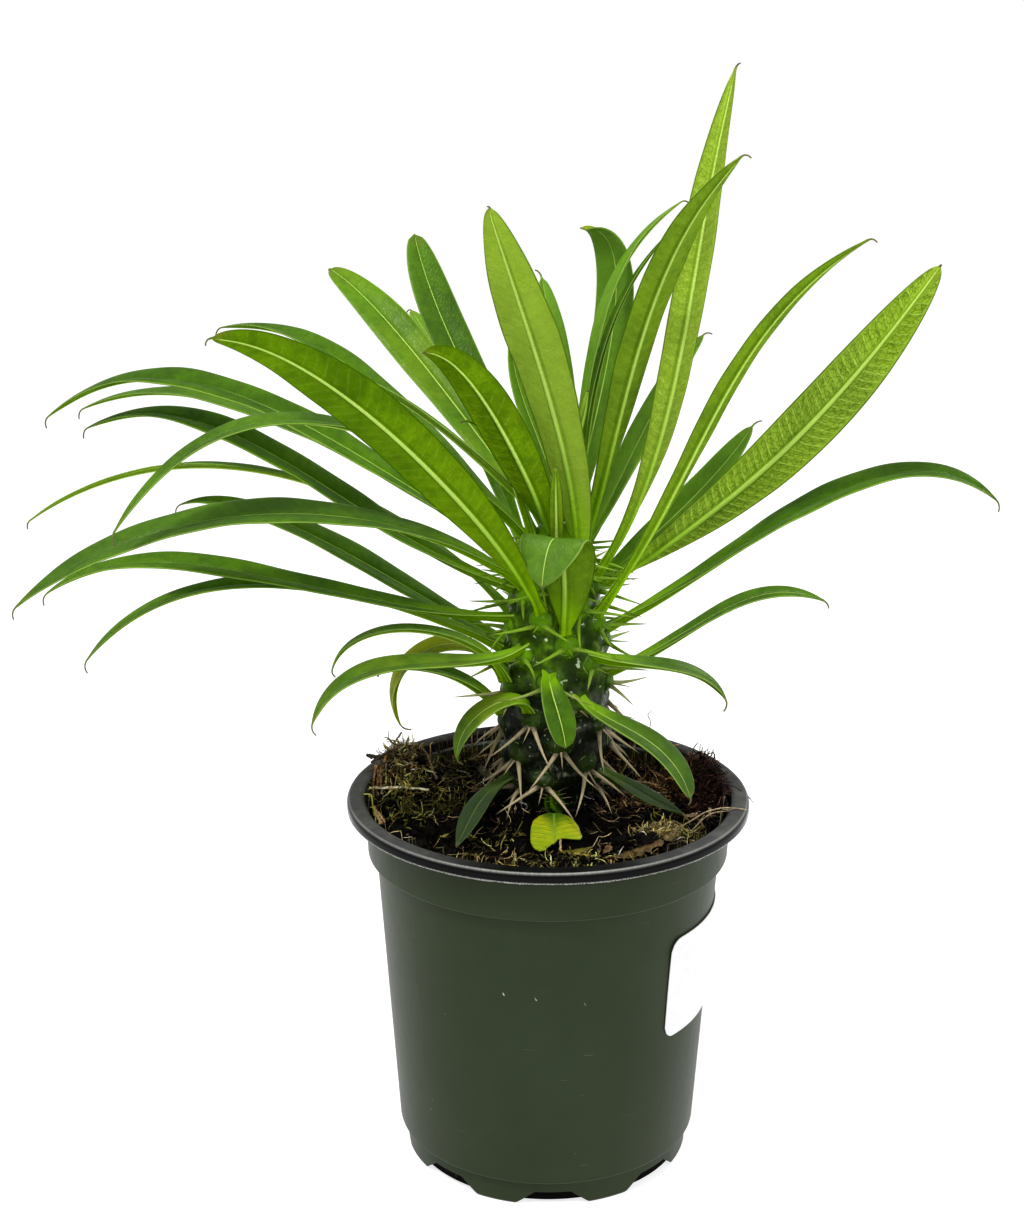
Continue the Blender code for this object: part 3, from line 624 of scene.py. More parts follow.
class Graph:
    """One material's nodes made by short calls; base is the colour painted so far."""

    def __init__(self, name, roughness, specular, base=None):
        self.material = bpy.data.materials.new(name)
        self.material.use_nodes = True
        self.tree = self.material.node_tree
        self.shader = self.tree.nodes["Principled BSDF"]
        self.shader.inputs["Roughness"].default_value = roughness
        self.shader.inputs["Specular IOR Level"].default_value = specular
        self.place = self.node("ShaderNodeTexCoord").outputs["Object"]
        self.base = base

    def node(self, kind, **settings):
        """A new node with its settings."""
        made = self.tree.nodes.new(kind)
        for key, value in settings.items():
            setattr(made, key, value)
        return made

    def put(self, socket, value):
        """Joins a value or a socket to an input, or sets the input to a plain number or colour."""
        if isinstance(value, Value):
            value = value.socket
        if isinstance(value, bpy.types.NodeSocket):
            self.tree.links.new(value, socket)
        elif socket.type == "RGBA":
            socket.default_value = (*value[:3], 1.0)
        else:
            socket.default_value = value

    def math(self, operation, a, b=0.0):
        """One operation of a Math node on values or numbers."""
        made = self.node("ShaderNodeMath", operation=operation)
        self.put(made.inputs[0], a)
        self.put(made.inputs[1], b)
        return Value(self, made.outputs[0])

    def mix(self, share, a, b):
        """Colour a where the share is 0, colour b where it is 1, and a blend between."""
        made = self.node("ShaderNodeMix", data_type="RGBA")
        self.put(made.inputs[0], share)
        self.put(made.inputs[6], a)
        self.put(made.inputs[7], b)
        return made.outputs[2]

    def paint(self, share, tint):
        """Lays a tint over the colour so far, by a share from 0 to 1."""
        self.base = self.mix(share, self.base, tint)

    def parts(self, vector):
        """The three numbers of a vector."""
        made = self.node("ShaderNodeSeparateXYZ")
        self.put(made.inputs[0], vector)
        return [Value(self, part) for part in made.outputs]

    def vector(self, x, y, z):
        """A vector from three numbers, as a place for noise."""
        made = self.node("ShaderNodeCombineXYZ")
        for socket, value in zip(made.inputs, (x, y, z)):
            self.put(socket, value)
        return made.outputs[0]

    def mark(self, name, output="Vector"):
        """An attribute of the mesh."""
        return self.node("ShaderNodeAttribute", attribute_name=name).outputs[output]

    def noise(self, scale, detail, roughness=0.5, at=None):
        """Cloudy values round a half, on the object's coordinates or at a place of its own."""
        made = self.node("ShaderNodeTexNoise")
        self.put(made.inputs["Vector"], self.place if at is None else at)
        made.inputs["Scale"].default_value = scale
        made.inputs["Detail"].default_value = detail
        made.inputs["Roughness"].default_value = roughness
        return Value(self, made.outputs["Fac"])

    def net(self, scale, at):
        """Distance to the nearest edge between irregular cells."""
        made = self.node("ShaderNodeTexVoronoi", feature="DISTANCE_TO_EDGE")
        self.put(made.inputs["Vector"], at)
        made.inputs["Scale"].default_value = scale
        return Value(self, made.outputs["Distance"])

    def glow_through(self, colour, share):
        """Lets light through from behind: the surface mixed with a translucent one."""
        through = self.node("ShaderNodeBsdfTranslucent")
        self.put(through.inputs["Color"], colour)
        mixed = self.node("ShaderNodeMixShader")
        mixed.inputs[0].default_value = share
        self.tree.links.new(self.shader.outputs[0], mixed.inputs[1])
        self.tree.links.new(through.outputs[0], mixed.inputs[2])
        self.tree.links.new(mixed.outputs[0], self.tree.nodes["Material Output"].inputs["Surface"])

    def finished(self, height, depth, roughness=None):
        """The material, with its colour, its roughness, and relief of height times a depth in metres."""
        self.put(self.shader.inputs["Base Color"], self.base)
        if roughness is not None:
            self.put(self.shader.inputs["Roughness"], roughness)
        relief = self.node("ShaderNodeBump")
        relief.inputs["Distance"].default_value = depth
        self.put(relief.inputs["Height"], height)
        self.put(self.shader.inputs["Normal"], relief.outputs["Normal"])
        return self.material


# ---------------------------------------------------------------- settings


def colour_setting(name, description, default):
    """A colour's property."""
    return FloatVectorProperty(
        name=name, description=description, default=default, subtype="COLOR", size=3, min=0.0, max=1.0
    )


def length_setting(name, description, default):
    """A length's property, in metres."""
    return FloatProperty(name=name, description=description, default=default, min=0.0, unit="LENGTH")


def share_setting(name, description, default):
    """The property of a share from 0 to 1."""
    return FloatProperty(
        name=name, description=description, default=default, min=0.0, max=1.0, subtype="FACTOR"
    )


class PotSettings(bpy.types.PropertyGroup):
    """The pot's plastic and its corners"""

    wall_colour: colour_setting("Wall colour", "Black-green of the moulded wall", (0.027, 0.04, 0.0165))
    # The lip's colour is painted shade: the wall's plastic, painted darker on the lip.
    lip_shade_colour: colour_setting("Lip colour", "Darker plastic of the lip", (0.0025, 0.003, 0.0026))
    # The scuff colour is also the colour of the painted highlight round the rim.
    scuff_and_highlight_colour: colour_setting("Scuff colour", "Stress-whitened plastic in scratches", (0.55, 0.56, 0.52))
    corner: length_setting("Corner", "Rounding of the profile's corners", 0.0006)
    roughness: share_setting("Roughness", "Roughness of the clean wall", 0.36)


class LabelSettings(bpy.types.PropertyGroup):
    """The paper label"""

    paper_colour: colour_setting("Paper colour", "Coated white paper", (0.8, 0.8, 0.8))
    thickness: length_setting("Thickness", "Thickness of the paper and its glue", 0.0003)


class SoilSettings(bpy.types.PropertyGroup):
    """The peat and its crumbs"""

    peat_colour: colour_setting("Peat colour", "Damp peat", PEAT)
    crumbs: IntProperty(name="Crumbs", description="Count of small peat crumbs", default=2600, min=0)
    relief: length_setting("Relief", "Height of the surface's lumps", SOIL_RELIEF * MM)


class LitterSettings(bpy.types.PropertyGroup):
    """The strands on the soil"""

    moss_tint: colour_setting("Moss tint", "Multiplies the moss's own colours", (1.0, 1.0, 1.0))
    coir_tint: colour_setting("Coir tint", "Multiplies the coconut fibre's own colours", (1.0, 1.0, 1.0))
    straw_tint: colour_setting("Straw tint", "Multiplies the straws' and roots' own colours", (1.0, 1.0, 1.0))
    thickness: length_setting("Strand radius", "Radius of a strand at its middle", 0.00022)


class StemSettings(bpy.types.PropertyGroup):
    """The stem's bark"""

    young_colour: colour_setting("Young bark", "Waxy green skin near the crown", (0.095, 0.22, 0.001))
    old_colour: colour_setting("Old bark", "Grey-green skin near the soil", (0.026, 0.05, 0.005))
    silver_colour: colour_setting("Silver skin", "Flaking outer skin", (0.28, 0.3, 0.24))
    wrinkles: length_setting("Wrinkles", "Depth of the bark's fine wrinkles", 0.00025)


class SpineSettings(bpy.types.PropertyGroup):
    """The spines"""

    radius: length_setting("Radius", "Radius of a spine at its foot", 0.00082)
    young_colour: colour_setting("Young spine", "Yellow-green spine of the crown", (0.2, 0.34, 0.02))
    old_colour: colour_setting("Old spine", "Dry tan spine of the old stem", (0.4, 0.33, 0.2))
    tip_colour: colour_setting("Tip", "Dark point of a spine", (0.06, 0.035, 0.016))


class LeafSettings(bpy.types.PropertyGroup):
    """The leaves' colours and veins"""

    upper_colour: colour_setting("Upper side", "Green of the upper side", (0.085, 0.2, 0.001))
    under_colour: colour_setting("Underside", "Green of the underside", (0.175, 0.335, 0.001))
    rib_colour: colour_setting("Midrib", "Pale midrib", (0.62, 0.82, 0.2))
    stalk_colour: colour_setting("Stalk", "Bright stalk in the crown", (0.34, 0.6, 0.002))
    yellow_colour: colour_setting("Ageing", "Yellow of an ageing blade", (0.6, 0.6, 0.02))
    dead_colour: colour_setting("Hook", "Dry hook at the tip", (0.2, 0.17, 0.09))
    vein_pitch: length_setting("Vein pitch", "Distance between side veins along the midrib", 0.0042)


class StageSettings(bpy.types.PropertyGroup):
    """The floor, the surround, the lamps and the camera"""

    floor_colour: colour_setting("Floor colour", "Plain pale floor", (0.4, 0.4, 0.4))
    floor_radius: length_setting("Floor radius", "Half the floor's width", 80.0)
    floor_glow: FloatProperty(name="Floor glow", description="Light of the lit floor", default=0.78, min=0.0)
    lens: FloatProperty(name="Lens", description="Focal length", default=58.68, unit="CAMERA")
    distance: length_setting("Distance", "Camera to the point it looks at", 0.7399)
    aim: FloatVectorProperty(
        name="Aim", description="Point looked at", default=(-0.0136, 0.0, 0.2153), subtype="TRANSLATION"
    )
    pitch: FloatProperty(
        name="Pitch", description="Angle below level", default=math.radians(16.83), subtype="ANGLE"
    )
    horizon: FloatProperty(name="Horizon", description="White surround, low down", default=1.05, min=0.0)
    sky: FloatProperty(name="Sky", description="White surround, overhead", default=0.5, min=0.0)
    key_power: FloatProperty(
        name="Key power", description="Power of the large lamp above", default=17.0, unit="POWER"
    )


# ---------------------------------------------------------------- pot


CORNER_STEPS = 4


def rounded(profile, radius):
    """A profile whose corners are cut back by the radius and bridged by a quadratic curve."""
    profile = np.asarray(profile, float)
    before, here, after = profile[:-2], profile[1:-1], profile[2:]
    back = np.linalg.norm(before - here, axis=1)
    on = np.linalg.norm(after - here, axis=1)
    cut = np.minimum(radius, 0.45 * np.minimum(back, on))
    start = here + (before - here) * (cut / back)[:, None]
    end = here + (after - here) * (cut / on)[:, None]
    t = np.linspace(0, 1, CORNER_STEPS)[None, :, None]
    curve = (1 - t) ** 2 * start[:, None] + 2 * t * (1 - t) * here[:, None] + t**2 * end[:, None]
    return np.concatenate([profile[:1], curve.reshape(-1, 2), profile[-1:]])


def pot_profile():
    """(radius, height) up the outside, over the lip and down the inside."""
    inner = BAND_RADIUS - WALL
    top, under = POT_HEIGHT, POT_HEIGHT - LIP_DEPTH
    return (
        (0.6, 0.0),
        (FOOT_RADIUS - 1.2, 0.0),
        (FOOT_RADIUS - 0.4, 0.8),
        (FOOT_RADIUS, FOOT_HEIGHT - 0.8),
        (BODY_LOW_RADIUS, FOOT_HEIGHT),
        (BODY_TOP_RADIUS, BAND_HEIGHT - 0.6),
        (BAND_RADIUS - 0.4, BAND_HEIGHT),
        (BAND_RADIUS + 0.3, top - 3.0),
        (BAND_RADIUS + 1.5, top - 1.5),
        (LIP_RADIUS - 1.2, top - 1.4),
        (LIP_RADIUS - 1.2, under),
        (LIP_RADIUS, under),
        (LIP_RADIUS, top - 1.9),
        (LIP_RADIUS - 0.6, top - 0.5),
        (LIP_RADIUS - 2.0, top),
        (LIP_RADIUS - FLANGE_WIDTH, top),
        (BAND_RADIUS + 0.7, top - 0.8),
        (BAND_RADIUS - 0.4, top - 2.4),
        (inner + 0.4, top - 4.6),
        (inner - 0.2, BAND_HEIGHT + 0.9),
        (BODY_TOP_RADIUS - WALL, BAND_HEIGHT - 0.8),
        (BODY_LOW_RADIUS - WALL, FOOT_HEIGHT + 0.5),
        (FOOT_RADIUS - WALL - 0.2, FOOT_HEIGHT - 1.0),
        (FOOT_RADIUS - WALL - 0.4, FLOOR),
        (0.6, FLOOR),
    )


def pot_surface(corner):
    """The profile turned about Z, its lip's lower edge torn by up to a third of a millimetre."""
    profile = rounded(pot_profile(), corner)
    angle = turns(POT_SIDES)
    r, z = profile[:, :1], profile[:, 1:]
    rings = stacked(r * np.cos(angle), r * np.sin(angle), z)
    at_burr = (r > LIP_RADIUS - 1.0) * eased(z, POT_HEIGHT - LIP_DEPTH + 1.0, POT_HEIGHT - LIP_DEPTH)
    torn = lattice_noise(rings, 2.2, 11) + 0.6 * lattice_noise(rings, 0.9, 12)
    rings[..., 2] -= 0.2 * at_burr * np.maximum(torn, 0)
    return skin(rings)


def notch_cutters():
    """Wedges wider at the floor, all round the foot."""
    slant = (NOTCH_WIDTH_LOW - NOTCH_WIDTH_HIGH) / 2 / NOTCH_HEIGHT
    low, high = NOTCH_WIDTH_LOW / 2 + slant, NOTCH_WIDTH_HIGH / 2
    corners = np.array([(-low, -1.0), (low, -1.0), (high, NOTCH_HEIGHT), (-high, NOTCH_HEIGHT)])
    shapes = []
    for azimuth in 270 + NOTCH_TURN + np.arange(NOTCHES) * 360 / NOTCHES:
        ring = corners[:, :1] * heading(azimuth + 90) + corners[:, 1:] * UP
        reach = np.array([NOTCH_INNER_RADIUS, FOOT_RADIUS + 6.0])[:, None, None]
        shapes.append(skin(ring + reach * heading(azimuth)))
    return together(shapes)


def pot_plastic(name, settings, specular):
    """Satin moulded plastic: a clouded green wall, and a lip painted much darker as painted shade.

    By height come the burr under the lip and the worn lines of the step and the foot, and by radius
    a thin painted highlight round the rim. Nicks and scratches are steps of stretched noise. Thin dust
    lies on the flange. At its two sides the flange is painted lighter grey as painted reflection, and
    the dust's pale colour adds to it there.
    """
    g = Graph(name, settings.roughness, specular)
    x, y, z = g.parts(g.place)
    around = g.math("ARCTAN2", y, x)
    arc = around * (BODY_TOP_RADIUS * MM)
    under = (POT_HEIGHT - LIP_DEPTH) * MM
    top = (POT_HEIGHT - 1.2) * MM
    lip = z.step(under - 0.0008, under + 0.0002)
    flange = z.step(top, top + 0.0006)
    side = abs(x).step(0.012, 0.06)
    cloud = g.noise(26, 4, 0.6)
    streaks = g.noise(3.0, 3, 0.7, at=g.vector(around * 34, z * 22, 0.0))
    ragged = g.noise(4.0, 4, 0.75, at=g.vector(around * 40, z * 500, 0.0)).step(0.4, 0.56)
    burr = z.band(under - 0.0007, under - 0.0001, under + 0.0003, under + 0.0009) * ragged
    low, high = (BAND_HEIGHT - 1.0) * MM, (BAND_HEIGHT + 0.2) * MM
    step_line = z.band(low, low + 0.0003, high - 0.0003, high)
    foot = (FOOT_HEIGHT - 0.5) * MM
    foot_line = z.band(foot, foot + 0.0003, foot + 0.0004, foot + 0.0008)
    bent = g.vector(arc + g.noise(300, 2) * 0.004, z + arc * 1.6, 0.0)
    nick = g.noise(420, 1, at=bent).step(0.75, 0.78) * g.noise(45, 1).step(0.62, 0.67)
    flow = g.vector(arc * 60, z * 1400, 0.0)
    scratch = g.noise(1.6, 1, at=flow).step(0.74, 0.78) * cloud.step(0.5, 0.62)
    worn = 0.2 + streaks.step(0.3, 0.7) * 0.35
    marks = (burr * 0.9).most(step_line * worn).most(foot_line * worn * 0.3)
    marks = marks.most(nick * z.step(under, under - 0.002) * 0.75).most(scratch * 0.12)
    wall = g.mix(cloud.step(0.3, 0.75), settings.wall_colour, WALL_CLOUD)
    # Painted shade: the lip is painted much darker than the wall, as the same plastic in shade.
    g.base = g.mix(lip, wall, settings.lip_shade_colour)
    g.paint(marks, settings.scuff_and_highlight_colour)
    # Painted reflection: the flange's two sides are painted lighter grey, as if mirroring the bright
    # surround.
    g.paint(flange * side * 0.45, FLANGE_SIDE_REFLECTION)
    # Dust on the flange, with more of its pale colour at the two sides as painted reflection.
    dust_and_side_reflection = flange * g.noise(90, 5, 0.7).step(0.35, 0.75)
    g.paint(dust_and_side_reflection * (0.06 + side * 0.3), DUST_AND_SIDE_REFLECTION)
    # Painted highlight: a thin pale line round the rim's outer edge, in the scuff colour, weaker at the
    # sides.
    radius = g.math("SQRT", x * x + y * y)
    rim = (LIP_RADIUS - 0.8) * MM
    shine = (1.0 - side * 0.55) * (0.4 + streaks.step(0.3, 0.7) * 0.2)
    g.paint(radius.band(rim - 0.0005, rim, rim, rim + 0.0006) * lip * shine, settings.scuff_and_highlight_colour)
    rough = settings.roughness + streaks.step(0.35, 0.8) * 0.08 + flange * 0.06
    rough = rough - lip * z.step(top, top - 0.0006) * 0.27 + marks * 0.2
    grain = g.noise(1500, 3) * 0.12 + g.noise(60, 2) * 0.5
    return g.finished(grain + marks * 0.5, 0.00025, rough)


POT_LOOKS = (("pot wall", 0.15), ("pot lip", 0.12), ("pot flange", 0.03))  # name, specular level


class PALM_OT_pot(bpy.types.Operator):
    """Turn the pot, cut its drain notches and give it its plastic"""

    bl_idname = "palm.pot"
    bl_label = "Pot"

    def execute(self, context):
        settings = context.scene.palm_pot
        shape = pot_surface(settings.corner / MM)
        heights = np.concatenate([shape.points[some][..., 2].mean(1) for some in shape.faces])
        zones = 1 * (heights > POT_HEIGHT - LIP_DEPTH - 0.3) + (heights > POT_HEIGHT - 0.9)
        looks = [pot_plastic(name, settings, specular) for name, specular in POT_LOOKS]
        made = make("nursery_pot", shape, looks, look_of_face=zones)
        cutter = make("notch_cutters", notch_cutters(), [])
        cut = made.modifiers.new("notches", "BOOLEAN")
        cut.operation = "DIFFERENCE"
        cut.solver = "EXACT"
        cut.object = cutter
        with context.temp_override(object=made, active_object=made, selected_objects=[made]):
            bpy.ops.object.modifier_apply(modifier=cut.name)
        bpy.data.objects.remove(cutter, do_unlink=True)
        made.data.set_sharp_from_angle(angle=math.radians(35))
        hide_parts("pot")
        return {"FINISHED"}


# ---------------------------------------------------------------- label


def label_surface(thickness):
    """A sheet wrapped on the wall's cone, its azimuth the length along it over the wall's radius.

    Near each end the rows close by a quarter circle, for the corners. The free upper corner lifts by
    half a millimetre, which falls off by an exponential each way.
    """
    along = np.linspace(0, LABEL_WIDTH, LABEL_COLUMNS + 1)[:, None]
    short = np.clip(LABEL_CORNER - np.minimum(along, LABEL_WIDTH - along), 0, LABEL_CORNER)
    inset = np.minimum(LABEL_CORNER - np.sqrt(LABEL_CORNER**2 - short**2), LABEL_CORNER - 0.4)
    share = np.linspace(0, 1, LABEL_ROWS + 1)
    height = (LABEL_LOW + inset) * (1 - share) + (LABEL_HIGH - inset) * share
    azimuth = np.radians(LABEL_START) + along / LABEL_RADIUS
    lift = 0.5 * np.exp(-along / 4) * np.exp(-(LABEL_HIGH - height) / 6)
    lift = lift + 0.06 * lattice_noise(stacked(along, height, 0), 9, 5)
    slope = (BODY_TOP_RADIUS - BODY_LOW_RADIUS) / (BAND_HEIGHT - FOOT_HEIGHT)
    radius = BODY_LOW_RADIUS + slope * (height - FOOT_HEIGHT) + LABEL_OFF + np.maximum(lift, -0.1)

    def sheet(out):
        """One face of the paper, at a distance from the pot's axis."""
        return stacked(out * np.cos(azimuth), out * np.sin(azimuth), height)

    return skin(np.concatenate([sheet(radius), sheet(radius + thickness)[:, ::-1]], 1))


def label_paper(settings):
    """Coated paper: almost even white, with faint mottling and fibres in colour and relief."""
    g = Graph("label paper", 0.42, 0.4, settings.paper_colour)
    mottle = g.noise(120, 4, 0.6).step(0.3, 0.8)
    fibres = g.noise(900, 2).step(0.35, 0.75)
    g.paint(mottle * 0.35, PAPER_SHADE)
    g.paint(fibres * 0.12, PAPER_FIBRE)
    return g.finished(fibres * 0.3 + mottle, 0.00005, 0.36 + mottle * 0.12)


class PALM_OT_label(bpy.types.Operator):
    """Wrap the blank label on the wall"""

    bl_idname = "palm.label"
    bl_label = "Label"

    def execute(self, context):
        settings = context.scene.palm_label
        shape = label_surface(settings.thickness / MM)
        made = make("blank_label", shape, [label_paper(settings)], ("label",))
        made.data.set_sharp_from_angle(angle=math.radians(40))
        return {"FINISHED"}


# ---------------------------------------------------------------- soil


def soil_height(x, y):
    """The soil's even surface: a smoothstep dome round the stem plus a bell curve for each heap."""
    away = np.hypot(x - STEM_X, y)
    dome = np.clip((44.0 - away) / 30.0, 0, 1)
    height = SOIL_AT_WALL + (SOIL_AT_STEM - SOIL_AT_WALL) * dome * dome * (3 - 2 * dome)
    for hx, hy, rise, spread in SOIL_HEAPS:
        height = height + rise * np.exp(-((x - hx) ** 2 + (y - hy) ** 2) / spread**2)
    return height


def under_torn_leaf(x, y):
    """1 under the torn leaf, falling to 0 round it as a fourth power in an exponential."""
    away_x, away_y = (x - STEM_X) / TORN_LEAF_WIDE, (y - TORN_LEAF_Y) / TORN_LEAF_LONG
    return np.exp(-(away_x**4) - away_y**4)


def soil_top(x, y, relief=SOIL_RELIEF):
    """The soil's lumpy surface: the even one plus three sizes of noise, calm under the torn leaf."""
    flat = stacked(x, y, 0)
    rough = lattice_noise(flat, 8.0, 21) + 0.6 * lattice_noise(flat, 3.4, 22)
    rough = rough + 0.35 * lattice_noise(flat, 1.5, 23)
    calm = under_torn_leaf(x, y)
    return soil_height(x, y) + (relief * rough - 0.4) * (1 - calm) - 0.9 * calm


def soil_surface(relief):
    """The pot's inside profile below, then rings drawn in from the wall to the stem, then the hole."""
    inner = np.array(
        [
            (FOOT_RADIUS - WALL - 0.4, FLOOR + 0.35),
            (FOOT_RADIUS - WALL - 0.2, FOOT_HEIGHT - 0.9),
            (BODY_LOW_RADIUS - WALL, FOOT_HEIGHT + 0.7),
            (BODY_TOP_RADIUS - WALL, BAND_HEIGHT - 0.4),
            (BAND_RADIUS - WALL - 0.2, BAND_HEIGHT + 1.3),
        ]
    )
    r, z = inner[:, :1] - 0.3, inner[:, 1:]
    ring = stacked(np.cos(turns(SOIL_SIDES)), np.sin(turns(SOIL_SIDES)))
    walls = stacked(r * ring[:, 0], r * ring[:, 1], z)
    edge = (BAND_RADIUS - WALL + 0.1) * ring
    hole = np.array([STEM_X, 0.0]) + (NECK_RADIUS - 0.6) * ring
    flat = hole + np.linspace(1, 0, SOIL_RINGS)[:, None, None] * (edge - hole)
    height = soil_top(flat[..., 0], flat[..., 1], relief)
    away = np.hypot(flat[..., 0], flat[..., 1])
    height = np.where(away > BAND_RADIUS - 4.5, np.minimum(height, POT_HEIGHT + 1.5), height)
    top = np.concatenate([flat, height[..., None]], -1)
    floor = stacked(hole[:, 0], hole[:, 1], SOIL_AT_STEM - HOLE_DEPTH)
    return skin(np.concatenate([walls, top, floor[None]]))


def peat(settings):
    """Damp peat: near black between its crumbs, where its relief is low, as painted shade; brown in dry
    patches, smoother where it is wet.
    """
    g = Graph("damp peat", 0.75, 0.05)
    crumb = g.noise(650, 4, 0.75)
    # Painted shade: darkest where the crumb noise, which is also the relief, is low.
    g.base = g.mix(crumb.step(0.35, 0.7), PEAT_HOLLOW_SHADE, settings.peat_colour)
    dry = g.noise(70, 5, 0.7).step(0.45, 0.75) * crumb.step(0.4, 0.7)
    g.paint(dry * 0.4, DRY_PEAT)
    wet = g.noise(240, 3, 0.6).step(0.6, 0.72)
    return g.finished(crumb, 0.0009, 0.8 - wet * 0.42)


def tinted(name, roughness, specular, depth, through=0.0):
    """A finish whose colour is each strand's or crumb's own tint, with painted shade in fine patches where
    its relief is low.
    """
    g = Graph(name, roughness, specular)
    tint = g.mark("tint")
    fine = g.noise(900, 3, 0.65)
    # Painted shade: the tint darkened where the fine noise, which is also the relief, is low.
    g.base = g.mix(fine.step(0.3, 0.62), g.mix(0.7, tint, BLACK), tint)
    if through:
        g.glow_through(g.base, through)
    return g.finished(fine, depth)


def on_soil(rng, count, low=13.0, high=66.0):
    """Random spots on the soil, even by area, between two radii, and clear of the torn leaf."""
    radius = np.sqrt(rng.uniform(low**2, high**2, count))
    angle = rng.uniform(0, 2 * np.pi, count)
    x, y = radius * np.cos(angle), radius * np.sin(angle)
    clear = under_torn_leaf(x, y) < TORN_LEAF_SHADE
    return x[clear], y[clear]


def varied(rng, tint, count, spread):
    """One tint many times, each lighter or darker by a bell curve of its logarithm, and a bit warmer."""
    light = np.exp(rng.normal(0, spread, (count, 1)))
    warm = 1 + rng.normal(0, 0.08, (count, 3))
    return np.clip(np.asarray(tint) * light * warm, 0, PALEST)


class PALM_OT_soil(bpy.types.Operator):
    """Fill the pot with peat and cover it with crumbs"""

    bl_idname = "palm.soil"
    bl_label = "Soil"

    def execute(self, context):
        settings = context.scene.palm_soil
        surface = soil_surface(settings.relief / MM)
        make("peat_bed", surface, [peat(settings)], ("soil",))
        rng = np.random.default_rng(31)
        x, y = on_soil(rng, settings.crumbs)
        size = rng.uniform(0.35, 1.5, len(x)) * rng.uniform(0.6, 1.2, len(x))
        centres = stacked(x, y, soil_top(x, y) + 0.3 * size)
        small = lumps(centres, size, varied(rng, SMALL_CRUMB, len(x), 1.0), 32)
        x, y = on_soil(rng, LARGE_CRUMBS, 15.0, 62.0)
        size = rng.uniform(1.6, 3.4, len(x))
        centres = stacked(x, y, soil_top(x, y) - 0.1 * size)
        large = lumps(centres, size, varied(rng, LARGE_CRUMB, len(x), 0.5), 33, 2)
        look = tinted("peat crumb", 0.6, 0.06, 0.0004)
        make("peat_crumbs", together([small, large]), [look], smooth=False)
        return {"FINISHED"}


# ---------------------------------------------------------------- moss, coir, straw and litter


class Patch(NamedTuple):
    """A patch of strands: its middle, its spread and height, then its strands.

    They have a count, a length, a rise above level in degrees, a curl, a tint and a thickness.
    """

    x: float
    y: float
    spread_x: float
    spread_y: float
    lift: float
    count: int
    length: float
    rise: float
    curl: float
    tint: tuple
    thickness: float = 1.0


PATCHES = {
    "moss_tuft": (
        Patch(-58.5, 25.0, 3.6, 3.0, 8.5, 520, 6.0, 10, 1.6, TAN_MOSS),
        Patch(-58.5, 25.0, 3.4, 2.8, 6.0, 300, 5.0, 0, 1.6, (0.09, 0.06, 0.018)),
    ),
    "moss_bed": (
        Patch(-50.0, 16.0, 9.0, 8.0, 1.4, 400, 5.5, 12, 1.3, (0.26, 0.21, 0.06)),
        Patch(-42.0, 4.0, 9.0, 5.0, 1.0, 150, 5.0, 12, 1.2, (0.15, 0.15, 0.025)),
        Patch(-55.0, -4.0, 6.0, 6.0, 0.8, 110, 5.5, 10, 1.2, (0.2, 0.19, 0.04)),
        Patch(-30.0, 20.0, 9.0, 6.0, 0.8, 110, 4.5, 10, 1.2, (0.13, 0.11, 0.03)),
    ),
    "moss_right": (
        Patch(41.0, -31.0, 4.5, 3.2, 2.0, 380, 6.0, 15, 1.5, TAN_MOSS),
        Patch(50.0, -22.0, 4.0, 4.0, 1.2, 170, 6.5, 12, 1.4, (0.26, 0.25, 0.04)),
        Patch(12.0, -52.0, 16.0, 4.0, 1.0, 150, 5.5, 10, 1.2, (0.28, 0.23, 0.06)),
        Patch(-16.0, -52.0, 12.0, 4.5, 1.0, 140, 5.5, 12, 1.2, (0.3, 0.24, 0.07)),
        Patch(-14.0, -30.0, 10.0, 4.0, 0.8, 130, 4.5, 8, 1.2, (0.22, 0.18, 0.04)),
    ),
    "coir_right": (
        Patch(60.0, 6.0, 4.5, 7.0, 6.0, 700, 6.0, 14, 1.7, (0.034, 0.014, 0.008)),
        Patch(52.0, 14.0, 6.0, 5.0, 3.5, 300, 6.0, 10, 1.5, (0.14, 0.07, 0.025)),
        Patch(64.5, 3.0, 1.8, 2.2, 10.5, 150, 3.6, 45, 1.4, (0.03, 0.013, 0.009), 1.4),
        Patch(38.0, 18.0, 9.0, 8.0, 1.5, 380, 6.5, 10, 1.3, (0.24, 0.15, 0.05)),
        Patch(30.0, 4.0, 8.0, 7.0, 1.0, 180, 5.5, 8, 1.3, (0.2, 0.12, 0.05)),
    ),
    "coir_back": (
        Patch(0.0, 45.0, 28.0, 12.0, 1.2, 420, 7.0, 8, 1.3, (0.16, 0.1, 0.04)),
        Patch(-30.0, 42.0, 12.0, 8.0, 1.4, 220, 6.0, 8, 1.3, (0.09, 0.085, 0.02)),
        Patch(30.0, 45.0, 12.0, 8.0, 1.2, 200, 6.0, 8, 1.3, (0.14, 0.08, 0.035)),
    ),
    "fibres": (
        Patch(0.0, 0.0, 34.0, 34.0, 0.7, 600, 6.0, 5, 1.0, (0.035, 0.022, 0.012), 0.8),
        Patch(0.0, 0.0, 32.0, 32.0, 0.9, 330, 7.0, 6, 0.8, (0.46, 0.33, 0.16), 0.8),
    ),
}
STATIONS = 7
PATCH_REACH = 65.5


